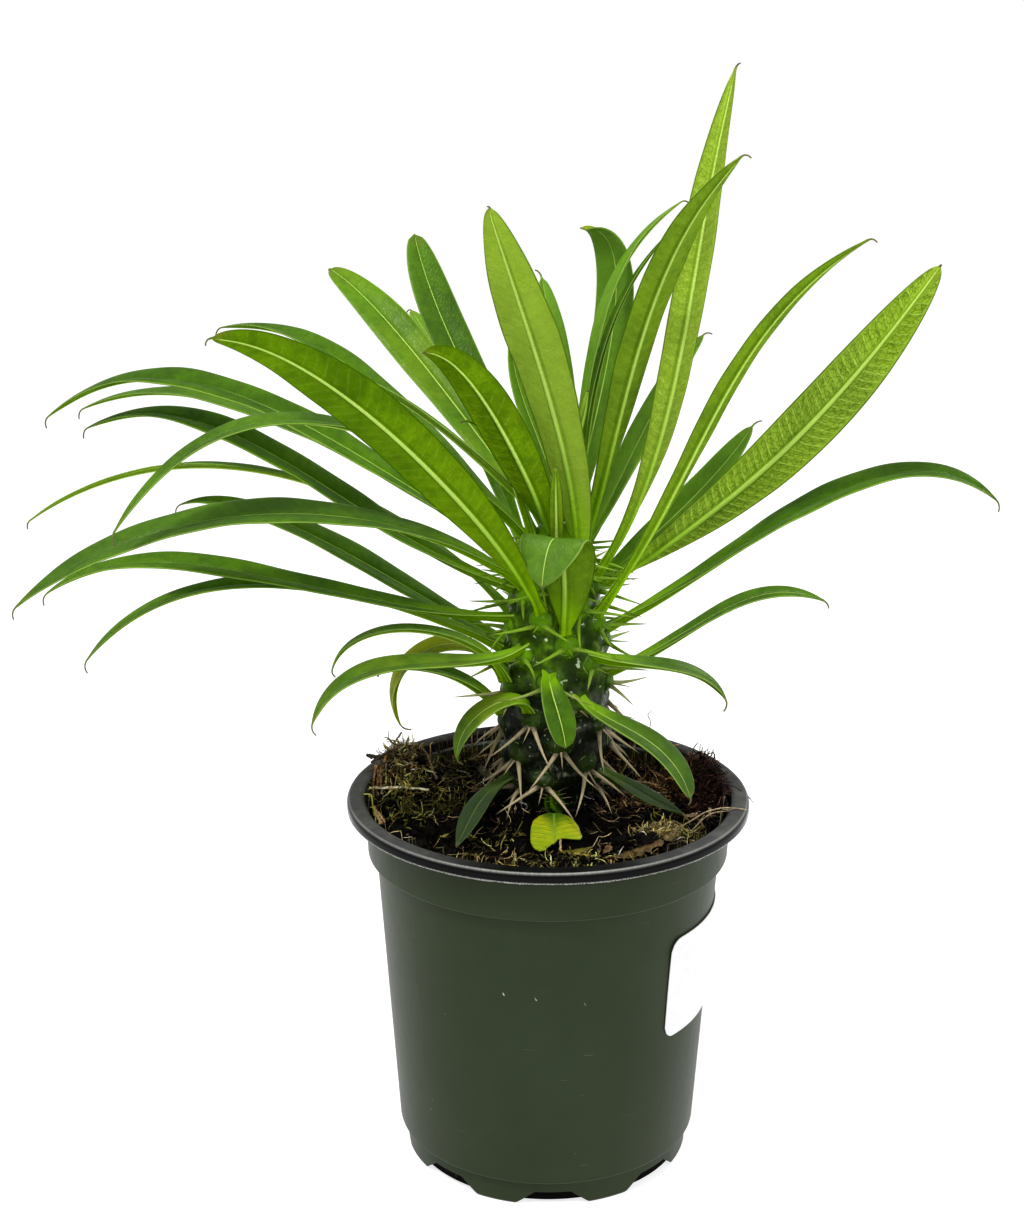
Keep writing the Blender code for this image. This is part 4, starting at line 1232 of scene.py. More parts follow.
def patch_lines(patch, rng):
    """Strands of a patch: a centre drawn from a bell curve, then a path that turns as it goes.

    Each step goes on in the last direction plus a random bend, and is lifted clear of the soil and
    of the pot's rim.
    """
    count = patch.count
    x = patch.x + rng.normal(0, patch.spread_x, count)
    y = patch.y + rng.normal(0, patch.spread_y, count)
    far = np.maximum(np.hypot(x, y) / PATCH_REACH, 1)
    x, y = x / far, y / far
    shell = np.exp(-((x - patch.x) ** 2 / patch.spread_x**2 + (y - patch.y) ** 2 / patch.spread_y**2) / 2)
    z = soil_top(x, y) + 0.3 + patch.lift * shell * rng.uniform(0.15, 1.0, count)
    away = heading(rng.uniform(0, 360, count), rng.normal(patch.rise, 18, count))
    step = patch.length * rng.uniform(0.5, 1.4, count) / (STATIONS - 1)
    bends = rng.normal(0, patch.curl * 0.45, (count, 3))
    points = [stacked(x, y, z)]
    for _ in range(STATIONS - 1):
        points.append(points[-1] + away * step[:, None])
        away = unit(away + 0.5 * bends + rng.normal(0, patch.curl * 0.18, (count, 3)))
    lines = np.stack(points, 1)
    inside = np.hypot(lines[..., 0], lines[..., 1]) < BAND_RADIUS - WALL - 1.0
    ground = np.where(inside, soil_top(lines[..., 0], lines[..., 1]) + 0.15, POT_HEIGHT + 0.6)
    lines[..., 2] = np.maximum(lines[..., 2], ground)
    return lines


def patch_surface(patch, seed, thickness, tint):
    """A patch's strands as thin tubes, thickest at their middles by the root of a sine."""
    rng = np.random.default_rng(seed)
    lines = patch_lines(patch, rng)
    taper = np.sin(np.pi * (0.12 + 0.78 * np.linspace(0, 1, STATIONS))) ** 0.5
    wide = thickness * patch.thickness * rng.uniform(0.6, 1.5, (patch.count, 1))
    tints = varied(rng, patch.tint, patch.count, 0.95) * np.array(tint)
    middle = lines[:, STATIONS // 2]
    clear = under_torn_leaf(middle[:, 0], middle[:, 1]) < TORN_LEAF_SHADE
    return strands(lines[clear], (wide * taper)[clear], tints[clear])


class Stick(NamedTuple):
    """A straw or stick: its two ends, its radius, its height to its width, its upward bow, its tint."""

    start: tuple
    end: tuple
    radius: float
    flat: float
    bow: float
    tint: tuple


STICKS = (
    Stick((-69.8, 7.9, 143.0), (-44.9, 9.6, 141.6), 0.8, 0.6, 0.4, (1.0, 0.8, 0.5)),
    Stick((-68.9, 7.0, 142.4), (-66.2, 6.0, 139.5), 0.4, 0.8, -0.8, STRAW),
    Stick((-66.2, -1.3, 139.5), (-62.9, -16.9, 139.2), 0.7, 0.6, 0.3, (0.55, 0.36, 0.17)),
    Stick((-64.6, -7.0, 139.4), (-61.2, -16.0, 139.4), 0.45, 0.6, 0.4, (0.6, 0.42, 0.22)),
    Stick((4.3, -28.4, 138.6), (3.9, -44.4, 138.0), 0.45, 0.7, 0.5, (0.48, 0.33, 0.17)),
    Stick((-12.5, -44.0, 138.4), (-12.2, -52.0, 138.6), 0.35, 0.8, 0.4, (0.5, 0.4, 0.2)),
    Stick((21.0, -54.5, 140.5), (22.5, -61.5, 139.5), 0.55, 0.6, 0.2, (0.5, 0.33, 0.16)),
    Stick((60.3, -13.0, 143.0), (59.6, -20.0, 142.5), 0.55, 0.6, 0.3, (0.34, 0.25, 0.13)),
    Stick((55.4, -15.5, 140.0), (56.8, -24.0, 139.5), 0.5, 0.6, 0.4, (0.22, 0.14, 0.07)),
    Stick((-48.5, 29.0, 151.0), (-43.0, 17.0, 143.0), 0.45, 0.8, 0.8, (0.25, 0.17, 0.1)),
    Stick((-57.0, 32.0, 157.0), (-60.0, 28.0, 153.0), 0.4, 0.8, 0.2, (0.3, 0.2, 0.1)),
    Stick((-68.5, 19.0, 149.0), (-58.5, 22.0, 153.5), 0.7, 0.6, 0.3, (0.07, 0.045, 0.02)),
    Stick((-69.0, 15.0, 147.0), (-60.0, 18.0, 151.0), 0.8, 0.5, 0.6, (0.09, 0.055, 0.025)),
    Stick((-66.0, 10.0, 141.0), (-62.0, 24.0, 152.0), 0.55, 0.7, 0.8, (0.42, 0.23, 0.07)),
    Stick((-66.9, 13.0, 139.0), (-66.2, 14.0, 150.0), 0.5, 0.6, 0.7, (0.36, 0.19, 0.06)),
    Stick((-65.8, 9.0, 139.0), (-64.6, 11.0, 149.0), 0.45, 0.6, -0.6, (0.3, 0.15, 0.05)),
    Stick((-64.0, 8.0, 139.0), (-63.5, 9.0, 147.0), 0.45, 0.6, 0.5, (0.22, 0.13, 0.05)),
    Stick((52.0, 22.0, 146.0), (58.0, 30.0, 149.0), 0.45, 0.7, 0.3, (0.35, 0.25, 0.13)),
    Stick((48.0, 21.0, 145.0), (57.0, 24.0, 147.0), 0.45, 0.7, 0.3, (0.4, 0.28, 0.14)),
    Stick((33.0, 16.0, 142.5), (46.0, 14.0, 141.0), 0.5, 0.7, 0.6, (0.32, 0.22, 0.11)),
    Stick((37.0, 8.0, 139.5), (50.0, 9.5, 140.5), 0.4, 0.7, 0.4, (0.4, 0.3, 0.16)),
    Stick((42.0, -3.0, 138.6), (51.0, 2.0, 139.6), 0.4, 0.7, 0.4, (0.42, 0.32, 0.18)),
    Stick((18.0, 40.0, 139.0), (6.0, 52.0, 140.0), 0.5, 0.7, 0.4, (0.35, 0.24, 0.12)),
    Stick((-20.0, 52.0, 140.0), (-33.0, 44.0, 140.5), 0.5, 0.7, 0.4, (0.4, 0.27, 0.13)),
)


class Rootlet(NamedTuple):
    """A long thin root: its radius, its tint and the points that it passes through."""

    radius: float
    tint: tuple
    points: tuple


ROOTLETS = (
    Rootlet(0.2, (0.03, 0.02, 0.015), ((66, 0, 148), (70.5, 0, 146.8), (75, -1, 144), (78.4, -2, 140.6))),
    Rootlet(
        0.32,
        (0.6, 0.47, 0.3),
        (
            (47, -27, 140.5),
            (53, -25, 143.5),
            (58, -21.5, 145),
            (64, -20, 146),
            (69, -19.5, 145.8),
            (73.5, -20, 145.4),
        ),
    ),
    Rootlet(0.25, (0.55, 0.42, 0.25), ((52, -30, 141), (57, -25, 144), (61, -22.5, 145.2), (67, -22, 145.8))),
    Rootlet(0.3, (0.5, 0.4, 0.16), ((38, -24, 141.5), (44, -26, 143), (50, -31, 142), (55, -33, 141.5))),
    Rootlet(0.24, (0.45, 0.38, 0.14), ((41, -22, 141), (47, -27, 143.4), (51, -34, 142), (56, -29, 143))),
    Rootlet(
        0.16, (0.22, 0.2, 0.19), ((-26, -6, 138.5), (-20, -9, 138.2), (-13, -10.5, 138.6), (-8, -10, 139.5))
    ),
    Rootlet(
        0.14, (0.14, 0.12, 0.11), ((-27, -3, 138.5), (-27.5, -10, 138), (-24, -18, 138), (-20, -23, 138.2))
    ),
    Rootlet(0.18, (0.4, 0.35, 0.28), ((40, 44, 150), (42, 47, 155), (41, 49, 158), (43, 50, 160))),
)


def smooth_line(points, count):
    """A curve through points: each stretch is a Catmull-Rom cubic, then evenly sampled."""
    points = np.asarray(points, float)
    padded = np.vstack([2 * points[0] - points[1], points, 2 * points[-1] - points[-2]])
    t = np.linspace(0, 1, 12, endpoint=False)[None, :, None]
    a, b, c, d = (padded[k : len(padded) - 3 + k, None] for k in range(4))
    curve = 0.5 * (2 * b + (c - a) * t + (2 * a - 5 * b + 4 * c - d) * t**2 + (3 * b - a - 3 * c + d) * t**3)
    return evenly(np.vstack([curve.reshape(-1, 3), points[-1:]]), count)[0]


def rootlet_surface(root):
    """A thin tube through a root's points, its last six stations drawn out to a third."""
    line = smooth_line(root.points, 26)[None]
    radius = np.full(line.shape[:2], root.radius)
    radius[:, -6:] *= np.linspace(1, 0.35, 6)
    return strands(line, radius, np.array([root.tint]), 6)


STICK_ROWS, STICK_SIDES = 22, 10


def stick_surface(stick, number):
    """A flattened tube from end to end, bowed by a half sine, ragged, and split at its far end."""
    rng = np.random.default_rng(STICK_SEED + number)
    share = np.linspace(0, 1, STICK_ROWS)
    start, end = np.array(stick.start), np.array(stick.end)
    along = unit(end - start)
    side = unit(np.cross(along, UP))
    up = np.cross(side, along)
    line = start + share[:, None] * (end - start) + stick.bow * np.sin(np.pi * share)[:, None] * up
    line += np.cumsum(rng.normal(0, 0.07, (STICK_ROWS, 3)), 0)
    angle = turns(STICK_SIDES)
    radius = stick.radius * (1 + rng.normal(0, 0.12, (STICK_ROWS, STICK_SIDES)))
    radius *= (0.35 + 0.65 * np.sin(np.pi * np.clip(share * 6, 0, 0.5)))[:, None]
    fray = 1 + 0.6 * eased(share, 0.85, 1.0)[:, None] * rng.uniform(0, 1, STICK_SIDES)
    across = np.cos(angle)[:, None] * side * (radius * fray)[..., None]
    rings = line[:, None] + across - stick.flat * np.sin(angle)[:, None] * up * radius[..., None]
    tint = np.broadcast_to(stick.tint, rings.shape) * (1 + 0.25 * rng.normal(size=(STICK_ROWS, 1, 1)))
    return skin(rings, tint=np.clip(tint, 0, PALEST))


class Scrap(NamedTuple):
    """A scrap of dead leaf: its middle, its size, its heading, its curl and its lean, and its tint."""

    centre: tuple
    length: float
    width: float
    azimuth: float
    slope: float
    curl: float
    lean: float
    tint: tuple


SCRAPS = (
    Scrap((31.5, -46.5, 141.5), 22.0, 11.0, 28, 8, 60, 30, (0.16, 0.1, 0.03)),
    Scrap((41.0, -39.5, 143.0), 17.0, 8.0, 36, 14, 80, 40, (0.2, 0.14, 0.05)),
    Scrap((9.5, -44.5, 140.0), 12.0, 6.0, 12, 4, 50, 20, (0.2, 0.17, 0.02)),
    Scrap((20.5, -44.0, 140.0), 5.0, 4.0, 80, 10, 40, 30, (0.22, 0.13, 0.06)),
    Scrap((28.5, 8.0, 143.0), 8.0, 5.0, 75, 20, 60, 30, (0.13, 0.08, 0.04)),
    Scrap((53.0, -19.0, 143.0), 5.0, 3.4, 20, 6, 30, 10, (0.55, 0.35, 0.2)),
    Scrap((-24.0, 30.0, 141.0), 9.0, 5.0, 120, 5, 50, 10, (0.12, 0.09, 0.03)),
    Scrap((14.0, 38.0, 141.0), 11.0, 6.0, 200, 5, 50, 10, (0.14, 0.09, 0.04)),
    Scrap((-38.5, -27.0, 138.0), 3.4, 1.8, 30, 8, 20, 10, (0.4, 0.38, 0.05)),
    Scrap((-30.5, -28.0, 138.0), 2.6, 1.5, 130, 8, 20, 10, (0.4, 0.38, 0.05)),
    Scrap((-66.5, 21.0, 151.0), 8.0, 3.0, 190, 10, 70, 20, (0.05, 0.03, 0.015)),
)


SCRAP_ROWS, SCRAP_COLUMNS = 18, 10


def scrap_surface(scrap, number):
    """A ragged oval sheet rolled about its long axis by its curl, 0.3 mm thick."""
    rng = np.random.default_rng(SCRAP_SEED + number)
    u = np.linspace(-1, 1, SCRAP_ROWS)[:, None]
    v = np.linspace(-1, 1, SCRAP_COLUMNS)[None]
    edge = np.sqrt(np.maximum(1 - np.abs(u) ** 2.4, 0.02))
    ragged = 1 + 0.18 * rng.normal(size=(SCRAP_ROWS, 1)) * np.abs(v)
    bend = np.radians(scrap.curl) * v * edge * ragged
    radius = scrap.width / 2 / np.radians(scrap.curl)
    along = unit(heading(scrap.azimuth, scrap.slope))
    level = unit(np.cross(along, UP))
    square = np.cross(level, along)
    lean = np.radians(scrap.lean)
    side = level * np.cos(lean) + square * np.sin(lean)
    up = np.cross(side, along)
    length = (u * scrap.length / 2)[..., None] * along
    crumple = 0.35 * lattice_noise(stacked(u * 9, v * 6, 0), 2.0, 701)

    def sheet(offset):
        """One face of the scrap: its curl's circle, moved out by the offset and the crumpling."""
        out = radius + offset + crumple
        across = (out * np.sin(bend))[..., None] * side
        return np.array(scrap.centre) + length + across + (out * np.cos(bend) - radius)[..., None] * up

    rings = np.concatenate([sheet(0.15)[:, ::-1], sheet(-0.15)], 1)
    patchy = 1 + 0.4 * rng.normal(size=rings.shape[:2] + (1,))
    return skin(rings, tint=np.clip(np.asarray(scrap.tint) * patchy, 0.003, PALEST))


class PALM_OT_litter(bpy.types.Operator):
    """Lay moss, coir, fibres, straws, rootlets and dead leaves on the soil"""

    bl_idname = "palm.litter"
    bl_label = "Moss and litter"

    def execute(self, context):
        settings = context.scene.palm_litter
        fibre = tinted("moss and coir", 0.6, 0.15, 0.0002, 0.1)
        for index, (name, patches) in enumerate(PATCHES.items()):
            tint = settings.moss_tint if name.startswith("moss") else settings.coir_tint
            shapes = [
                patch_surface(patch, PATCH_SEED * (index + 1) + number, settings.thickness / MM, tint)
                for number, patch in enumerate(patches)
            ]
            make(name, together(shapes), [fibre])
        straw = tinted("dry straw", 0.5, 0.35, 0.0002, 0.1)
        sticks = together([stick_surface(stick, number) for number, stick in enumerate(STICKS)])
        roots = together([rootlet_surface(root) for root in ROOTLETS])
        for name, shape in (("straws", sticks), ("rootlets", roots)):
            shape.marks["tint"] *= np.array(settings.straw_tint)
            make(name, shape, [straw])
        dead = tinted("dead leaf", 0.45, 0.4, 0.0003, 0.2)
        scraps = [scrap_surface(scrap, number) for number, scrap in enumerate(SCRAPS)]
        make("leaf_litter", together(scraps), [dead])
        return {"FINISHED"}


# ---------------------------------------------------------------- the stem


def tubercle(number):
    """(azimuth, height) of one tubercle on the spiral; they crowd together towards the tip."""
    crowded = max(0, number - CROWDING_FROM)
    height = TUBERCLE_LOWEST + TUBERCLE_STEP * number - CROWDING * crowded**2
    return (TUBERCLE_START + GOLDEN_ANGLE * number) % 360, height


def profile_radius(height):
    """The stem's radius without its tubercles."""
    heights, radii = np.array(STEM_PROFILE).T
    return np.interp(height, heights, radii, left=NECK_RADIUS, right=0.0)


def tubercle_rise(azimuth, height):
    """How strongly a spot on the stem belongs to its nearest tubercle, from 0 to 1."""
    azimuth, height = np.broadcast_arrays(np.radians(azimuth), np.asarray(height, float))
    radius = profile_radius(height)
    rise = np.zeros_like(radius)
    for number in range(TUBERCLES):
        side, at = tubercle(number)
        turn = (azimuth - math.radians(side) + np.pi) % (2 * np.pi) - np.pi
        across = turn * np.maximum(radius, 6.0) / TUBERCLE_SIDE_SPREAD
        along = (height - at) / TUBERCLE_HIGH_SPREAD
        rise = np.maximum(rise, np.exp(-(across**2) - along**2))
    return rise


def stem_radius(azimuth, height):
    """The stem's radius with its tubercles: round bosses that fade where the tip closes."""
    height = np.asarray(height, float)
    fade = np.clip((STEM_TOP - height) / 14.0, 0, 1) * np.clip((height - 143.0) / 8.0, 0, 1)
    return profile_radius(height) + TUBERCLE_RISE * tubercle_rise(azimuth, height) * fade


def on_stem(azimuth, height, outward):
    """The point so far outward of the stem's surface."""
    radius = float(stem_radius(azimuth, height)) + outward
    return np.array([STEM_X, 0.0, height]) + radius * heading(azimuth)


def stem_surface(wrinkles):
    """Rings of the stem's radius by azimuth and height, with wrinkles by noise.

    The noise runs lengthwise, in ring-like folds and in broad pits. A groove of half a millimetre
    goes round each old tubercle, where its rise is 0.42.
    """
    low = np.linspace(STUMP_FOOT, 140.0, 10)[:-1]
    high = np.linspace(140.0, 251.4, 250)
    heights = np.concatenate([low, high, [251.9, 252.3]])[:, None]
    azimuth = (360 * np.arange(STEM_SIDES) / STEM_SIDES)[None]
    radius = stem_radius(azimuth, heights)
    rise = tubercle_rise(azimuth, heights)
    a = np.radians(azimuth)
    lengthwise = stacked(20 * np.cos(a), 20 * np.sin(a), heights * 0.4)
    folds = stacked(6 * np.cos(a), 6 * np.sin(a), heights)
    old = eased(heights, 205.0, 150.0)
    rough = lattice_noise(lengthwise, 1.3, 41) + 0.7 * lattice_noise(folds, 1.6, 42) * (0.4 + old)
    pitted = lattice_noise(lengthwise, 4.0, 43)
    fade = eased(heights, 252.0, 240.0) * (radius > 3)
    radius = radius + fade * wrinkles * (rough * (0.35 + 0.65 * old) + 1.1 * pitted)
    radius = radius - 0.5 * old * np.exp(-(((rise - 0.42) / 0.1) ** 2)) * fade
    return skin(stacked(STEM_X + radius * np.cos(a), radius * np.sin(a), heights), rise=rise)


def bark(name, settings, ageing=1.0):
    """Waxy green skin that ages to grey-green lower down, with painted shade in the furrows between tubercles
    and patches of painted sheen.

    Silver flakes are fine speckle and ragged bands by height, on the old skin alone. Where a
    tubercle's rise passes a half, painted shade lays a dark crease round it, and a painted highlight
    a broken pale ring. Pale specks are painted glints.
    """
    g = Graph(name, 0.3, 0.05)
    x, y, z = g.parts(g.place)
    rise = Value(g, g.mark("rise", "Fac"))
    cloud = g.noise(90, 4, 0.65)
    age = (z + (cloud - 0.5) * 0.06).step(0.205, 0.174) * ageing
    # Painted shade: the green darkens in the furrows, where the tubercles' rise is low.
    green = g.mix(rise.step(0.15, 0.8), YOUNG_FURROW_SHADE, settings.young_colour)
    # Painted sheen: lighter green patches that stand in for soft highlights.
    green = g.mix(g.noise(160, 3).step(0.45, 0.85), green, SHEEN_PATCH_GREEN)
    # Painted shade: the old grey darkens in the furrows too.
    grey = g.mix(rise.step(0.2, 0.8), OLD_FURROW_SHADE, settings.old_colour)
    g.base = g.mix(age, green, grey)
    tall = g.vector(x, y, z * 0.25)
    speckle = g.noise(950, 4, 0.8, at=tall).step(0.56, 0.68)
    band = (z + (g.noise(55, 2) - 0.5) * 0.012).fold(0.0045).step(0.0026, 0.0042)
    band = band * g.noise(240, 3, 0.7, at=tall).step(0.42, 0.6)
    flake = (speckle + band * 0.8) * cloud.step(0.42, 0.62)
    g.paint(flake * age * 0.6, settings.silver_colour)
    # Painted shade: a dark crease round each tubercle, where its rise passes a half.
    ring = abs(rise - 0.52 + (g.noise(150, 2) - 0.5) * 0.3)
    crease = ring.step(0.11, 0.04) * g.noise(90, 1).step(0.35, 0.55)
    g.paint(crease * 0.55, CREASE_SHADE)
    # Painted highlight: broken pale arcs on the ring round each tubercle.
    torn = ring.step(0.03, 0.008) * g.noise(210, 2, 0.6).step(0.5, 0.62)
    g.paint(torn * 0.75, PALE_RING_HIGHLIGHT)
    # Painted glints: small pale specks, fewer on the old skin.
    wet = g.noise(330, 1, at=g.vector(x, y, z * 1.6)).step(0.7, 0.76)
    g.paint(wet * (0.75 - age * 0.45), GLINT_SPECK)
    fine = (g.noise(420, 4, 0.7) + g.noise(1300, 3, at=tall) * 0.5) * (0.3 + age * 0.7)
    g.shader.inputs["Coat Weight"].default_value = 0.12
    g.shader.inputs["Coat Roughness"].default_value = 0.09
    return g.finished(fine + g.noise(130, 2) * 0.9, 0.0009, 0.2 + age * 0.16 + flake * 0.3)


class PALM_OT_stem(bpy.types.Operator):
    """Build the swollen stem with its tubercles"""

    bl_idname = "palm.stem"
    bl_label = "Stem"

    def execute(self, context):
        settings = context.scene.palm_stem
        shape = stem_surface(settings.wrinkles / MM)
        make("palm_stem", shape, [bark("stem bark", settings)], ("stem",))
        return {"FINISHED"}


# ---------------------------------------------------------------- leaves


def bezier(p0, p1, p2, p3, t):
    """Points of a cubic with two ends and two handles."""
    t = t[:, None]
    return (1 - t) ** 3 * p0 + 3 * (1 - t) ** 2 * t * p1 + 3 * (1 - t) * t**2 * p2 + t**3 * p3


def leaf_line(leaf, count):
    """(points, azimuth, length) of a leaf's rib: a cubic from its tubercle to its tip, evenly spaced."""
    side, low = tubercle(leaf.tubercle)
    start = on_stem(side, low + FOOT_RISE, -FOOT_SUNK)
    end = np.array([STEM_X, 0.0, leaf.height]) + leaf.reach * heading(leaf.azimuth)
    across = end - start
    span = np.linalg.norm(across)
    toward = math.degrees(math.atan2(across[1], across[0]))
    out = start + leaf.first_handle * span * heading(side, leaf.launch)
    back = end - leaf.last_handle * span * heading(toward + leaf.swing, leaf.slope)
    points, length = evenly(bezier(start, out, back, end, np.linspace(0, 1, 600)), count)
    return points, toward, length


def leaf_frame(line, toward, turn):
    """Along, across and upward directions at each point of a leaf's rib, turned about it by turn."""
    along = unit(np.gradient(line, axis=0))
    level = np.cross(heading(toward), UP)
    across = unit(level - (along @ level)[:, None] * along)
    upward = np.cross(across, along)
    share = np.linspace(0, 1, len(line))
    angle = np.radians(turn) * np.sin(np.pi / 2 * np.clip(share / 0.35, 0, 1))[:, None]
    return (
        along,
        across * np.cos(angle) + upward * np.sin(angle),
        upward * np.cos(angle) - across * np.sin(angle),
    )


def blade_half(share, leaf):
    """Half the blade's width: a slim stalk, widest past the middle, closing to a point."""
    opening = np.sin(np.pi / 2 * np.clip(share / leaf.widest, 0, 1)) ** leaf.base
    closing = np.cos(np.pi / 2 * np.clip((share - leaf.widest) / (1 - leaf.widest), 0, 1)) ** leaf.tip
    stalk = PETIOLE_HALF * (1 - share) + HOOK_HALF * share
    return np.maximum(stalk, leaf.width / 2 * opening * closing)


def rib_sections(leaf, rows, hook):
    """(points, across, upward, half, share, mm) of a leaf's sections: its root, its rib and its hook.

    The root runs on into the tubercle. The hook is an arc of the last direction, a thread that
    turns down by its bend. Share is the share of the rib's length and mm the length itself.
    """
    line, toward, length = leaf_line(leaf, rows)
    along, across, upward = leaf_frame(line, toward, leaf.turn)
    share = np.linspace(0, 1, rows)
    half = blade_half(share, leaf)
    gone = np.linspace(0, 1, HOOK_ROWS + 1)[1:]
    bend = np.radians(HOOK_BEND) * gone[:, None]
    reach = (along[-1] * np.cos(bend / 2) - upward[-1] * np.sin(bend / 2)) * (hook * gone)[:, None]
    hooked = upward[-1] * np.cos(bend) + along[-1] * np.sin(bend)
    inward = -heading(tubercle(leaf.tubercle)[0], 12.0)
    sunk = np.linspace(1, 0, ROOT_ROWS + 1)[:-1, None] * ROOT_DEPTH
    line = np.vstack([line[0] + sunk * inward, line, line[-1] + reach])
    across = np.vstack([np.repeat(across[:1], ROOT_ROWS, 0), across, np.repeat(across[-1:], HOOK_ROWS, 0)])
    upward = np.vstack([np.repeat(upward[:1], ROOT_ROWS, 0), upward, hooked])

    def column(values, at_hook):
        """Values along the whole leaf: the first again at the rows of the root, then the hook's."""
        return np.concatenate([np.repeat(values[:1], ROOT_ROWS), values, at_hook])[:, None]

    half = column(half, HOOK_THREAD * (1 - 0.6 * gone))
    mm = column(share * length, length + HOOK_LENGTH * gone)
    return line, across, upward, half, column(share, 1 + 0.1 * gone), mm


def leaf_surface(name, leaf, finish, pitch):
    """(shape, looks of its faces): a leaf's blade, rib and hook as closed sections along its rib.

    Across the blade, t runs from -1 to 1. The upper face is raised by half times the channel's
    tangent times (1.35 |t|^0.8 - 0.35 |t|^2.2), less a groove over the rib, plus a slow wave at the
    margin and a bulge between side veins. The lower face lies the blade's thickness below it, plus
    a round rib with a trench on each side. Near the foot both thicken into the tubercle, by an
    exponential of the length along the rib.
    """
    fine = name in FINE_LEAVES
    number = int(name[-2:])
    rng = np.random.default_rng(LEAF_SEED + number)
    _, _, length = leaf_line(leaf, 3)
    rows = int(length / (FINE_ROW if fine else PLAIN_ROW)) + 8
    hook = HOOK_LENGTH * min(1.0, leaf.width / 12) * finish.hook
    line, across, upward, half, share, mm = rib_sections(leaf, rows, hook)
    half = half + 0.4 * np.exp(-mm / 2.5) + 0.85 * np.exp(-mm / 20.0)

    steps = FINE_STEPS if fine else PLAIN_STEPS
    t = np.linspace(-1, 1, steps + 1)
    t = (t * (0.5 + 0.5 * np.abs(t)))[None]
    far = np.abs(t) * half
    narrow = eased(half, 0.6, 2.5)
    tangent = math.tan(math.radians(leaf.channel))
    vee = half * tangent * (1.35 * np.abs(t) ** 0.8 - 0.35 * np.abs(t) ** 2.2)
    wave_one, wave_two = rng.uniform(0, 2 * np.pi, 2)
    slow = np.sin(mm / rng.uniform(9, 13) + wave_one + 0.9 * np.sign(t))
    quick = np.sin(mm / rng.uniform(3.6, 5.0) + wave_two + 2.1 * np.sign(t))
    wave = narrow * t**2 * (0.045 * half * slow + 0.014 * half * quick)
    droop = -0.06 * half * eased(np.abs(t), 0.82, 1.0)
    relief = 0.0
    if fine:
        phase = (mm - 0.15 * far - 0.42 * far**2 / half) / pitch
        bulge = 0.5 - 0.5 * np.cos(2 * np.pi * phase)
        bulge = bulge * eased(far, 0.9, 2.4) * eased(np.abs(t), 1.0, 0.8)
        relief = 0.3 * finish.quilting * bulge * narrow
    rib_wide = (0.75 + 0.045 * leaf.width) * (1 - 0.55 * share) + 0.1
    groove = -0.3 * narrow * np.exp(-((far / (0.6 * rib_wide)) ** 2))
    upper = vee + wave + droop + relief + groove
    fleshy = 2.0 * np.exp(-mm / 20.0)
    thick = 0.42 + 0.34 * (1 - np.abs(t) ** 3) * np.minimum(half / 4, 1) + fleshy * (1 - 0.6 * t**2)
    deep = (1.15 * (1 - 0.75 * np.minimum(share, 1)) + 0.1) * np.minimum(half / 3, 1)
    ridge = deep * np.sqrt(np.maximum(1 - (far / rib_wide) ** 2, 0))
    trench = -0.12 * narrow * np.exp(-(((far - 1.5 * rib_wide) / (0.6 * rib_wide)) ** 2))
    lower = upper - groove * 0.6 - thick - ridge - trench

    def face(offset):
        """One face of the blade: the middle line, out to each side by t and up by the offset."""
        flat = line[:, None] + across[:, None] * (t * half)[..., None]
        return flat + upward[:, None] * offset[..., None]

    top, bottom = face(upper), face(lower)
    left = (top[:, :1] + bottom[:, :1]) / 2 - across[:, None] * 0.2
    right = (top[:, -1:] + bottom[:, -1:]) / 2 + across[:, None] * 0.2
    rings = np.concatenate([top, right, bottom[:, ::-1], left], 1)
    ends = np.ones((1, 1))
    flat_t = np.concatenate([t, ends, t[:, ::-1], -ends], 1) + 0 * half
    shape = skin(
        rings,
        blade=stacked(flat_t, mm, half),
        growth=stacked(share + 0 * flat_t, finish.tone, finish.yellow),
        extra=stacked(0 * flat_t + finish.stains, finish.quilting, number),
    )
    column = np.tile(np.arange(rings.shape[1]), len(rings) - 1)
    under = (column >= steps + 1) & (column <= 2 * steps + 2)
    return shape, np.concatenate([under, [0, 0]])


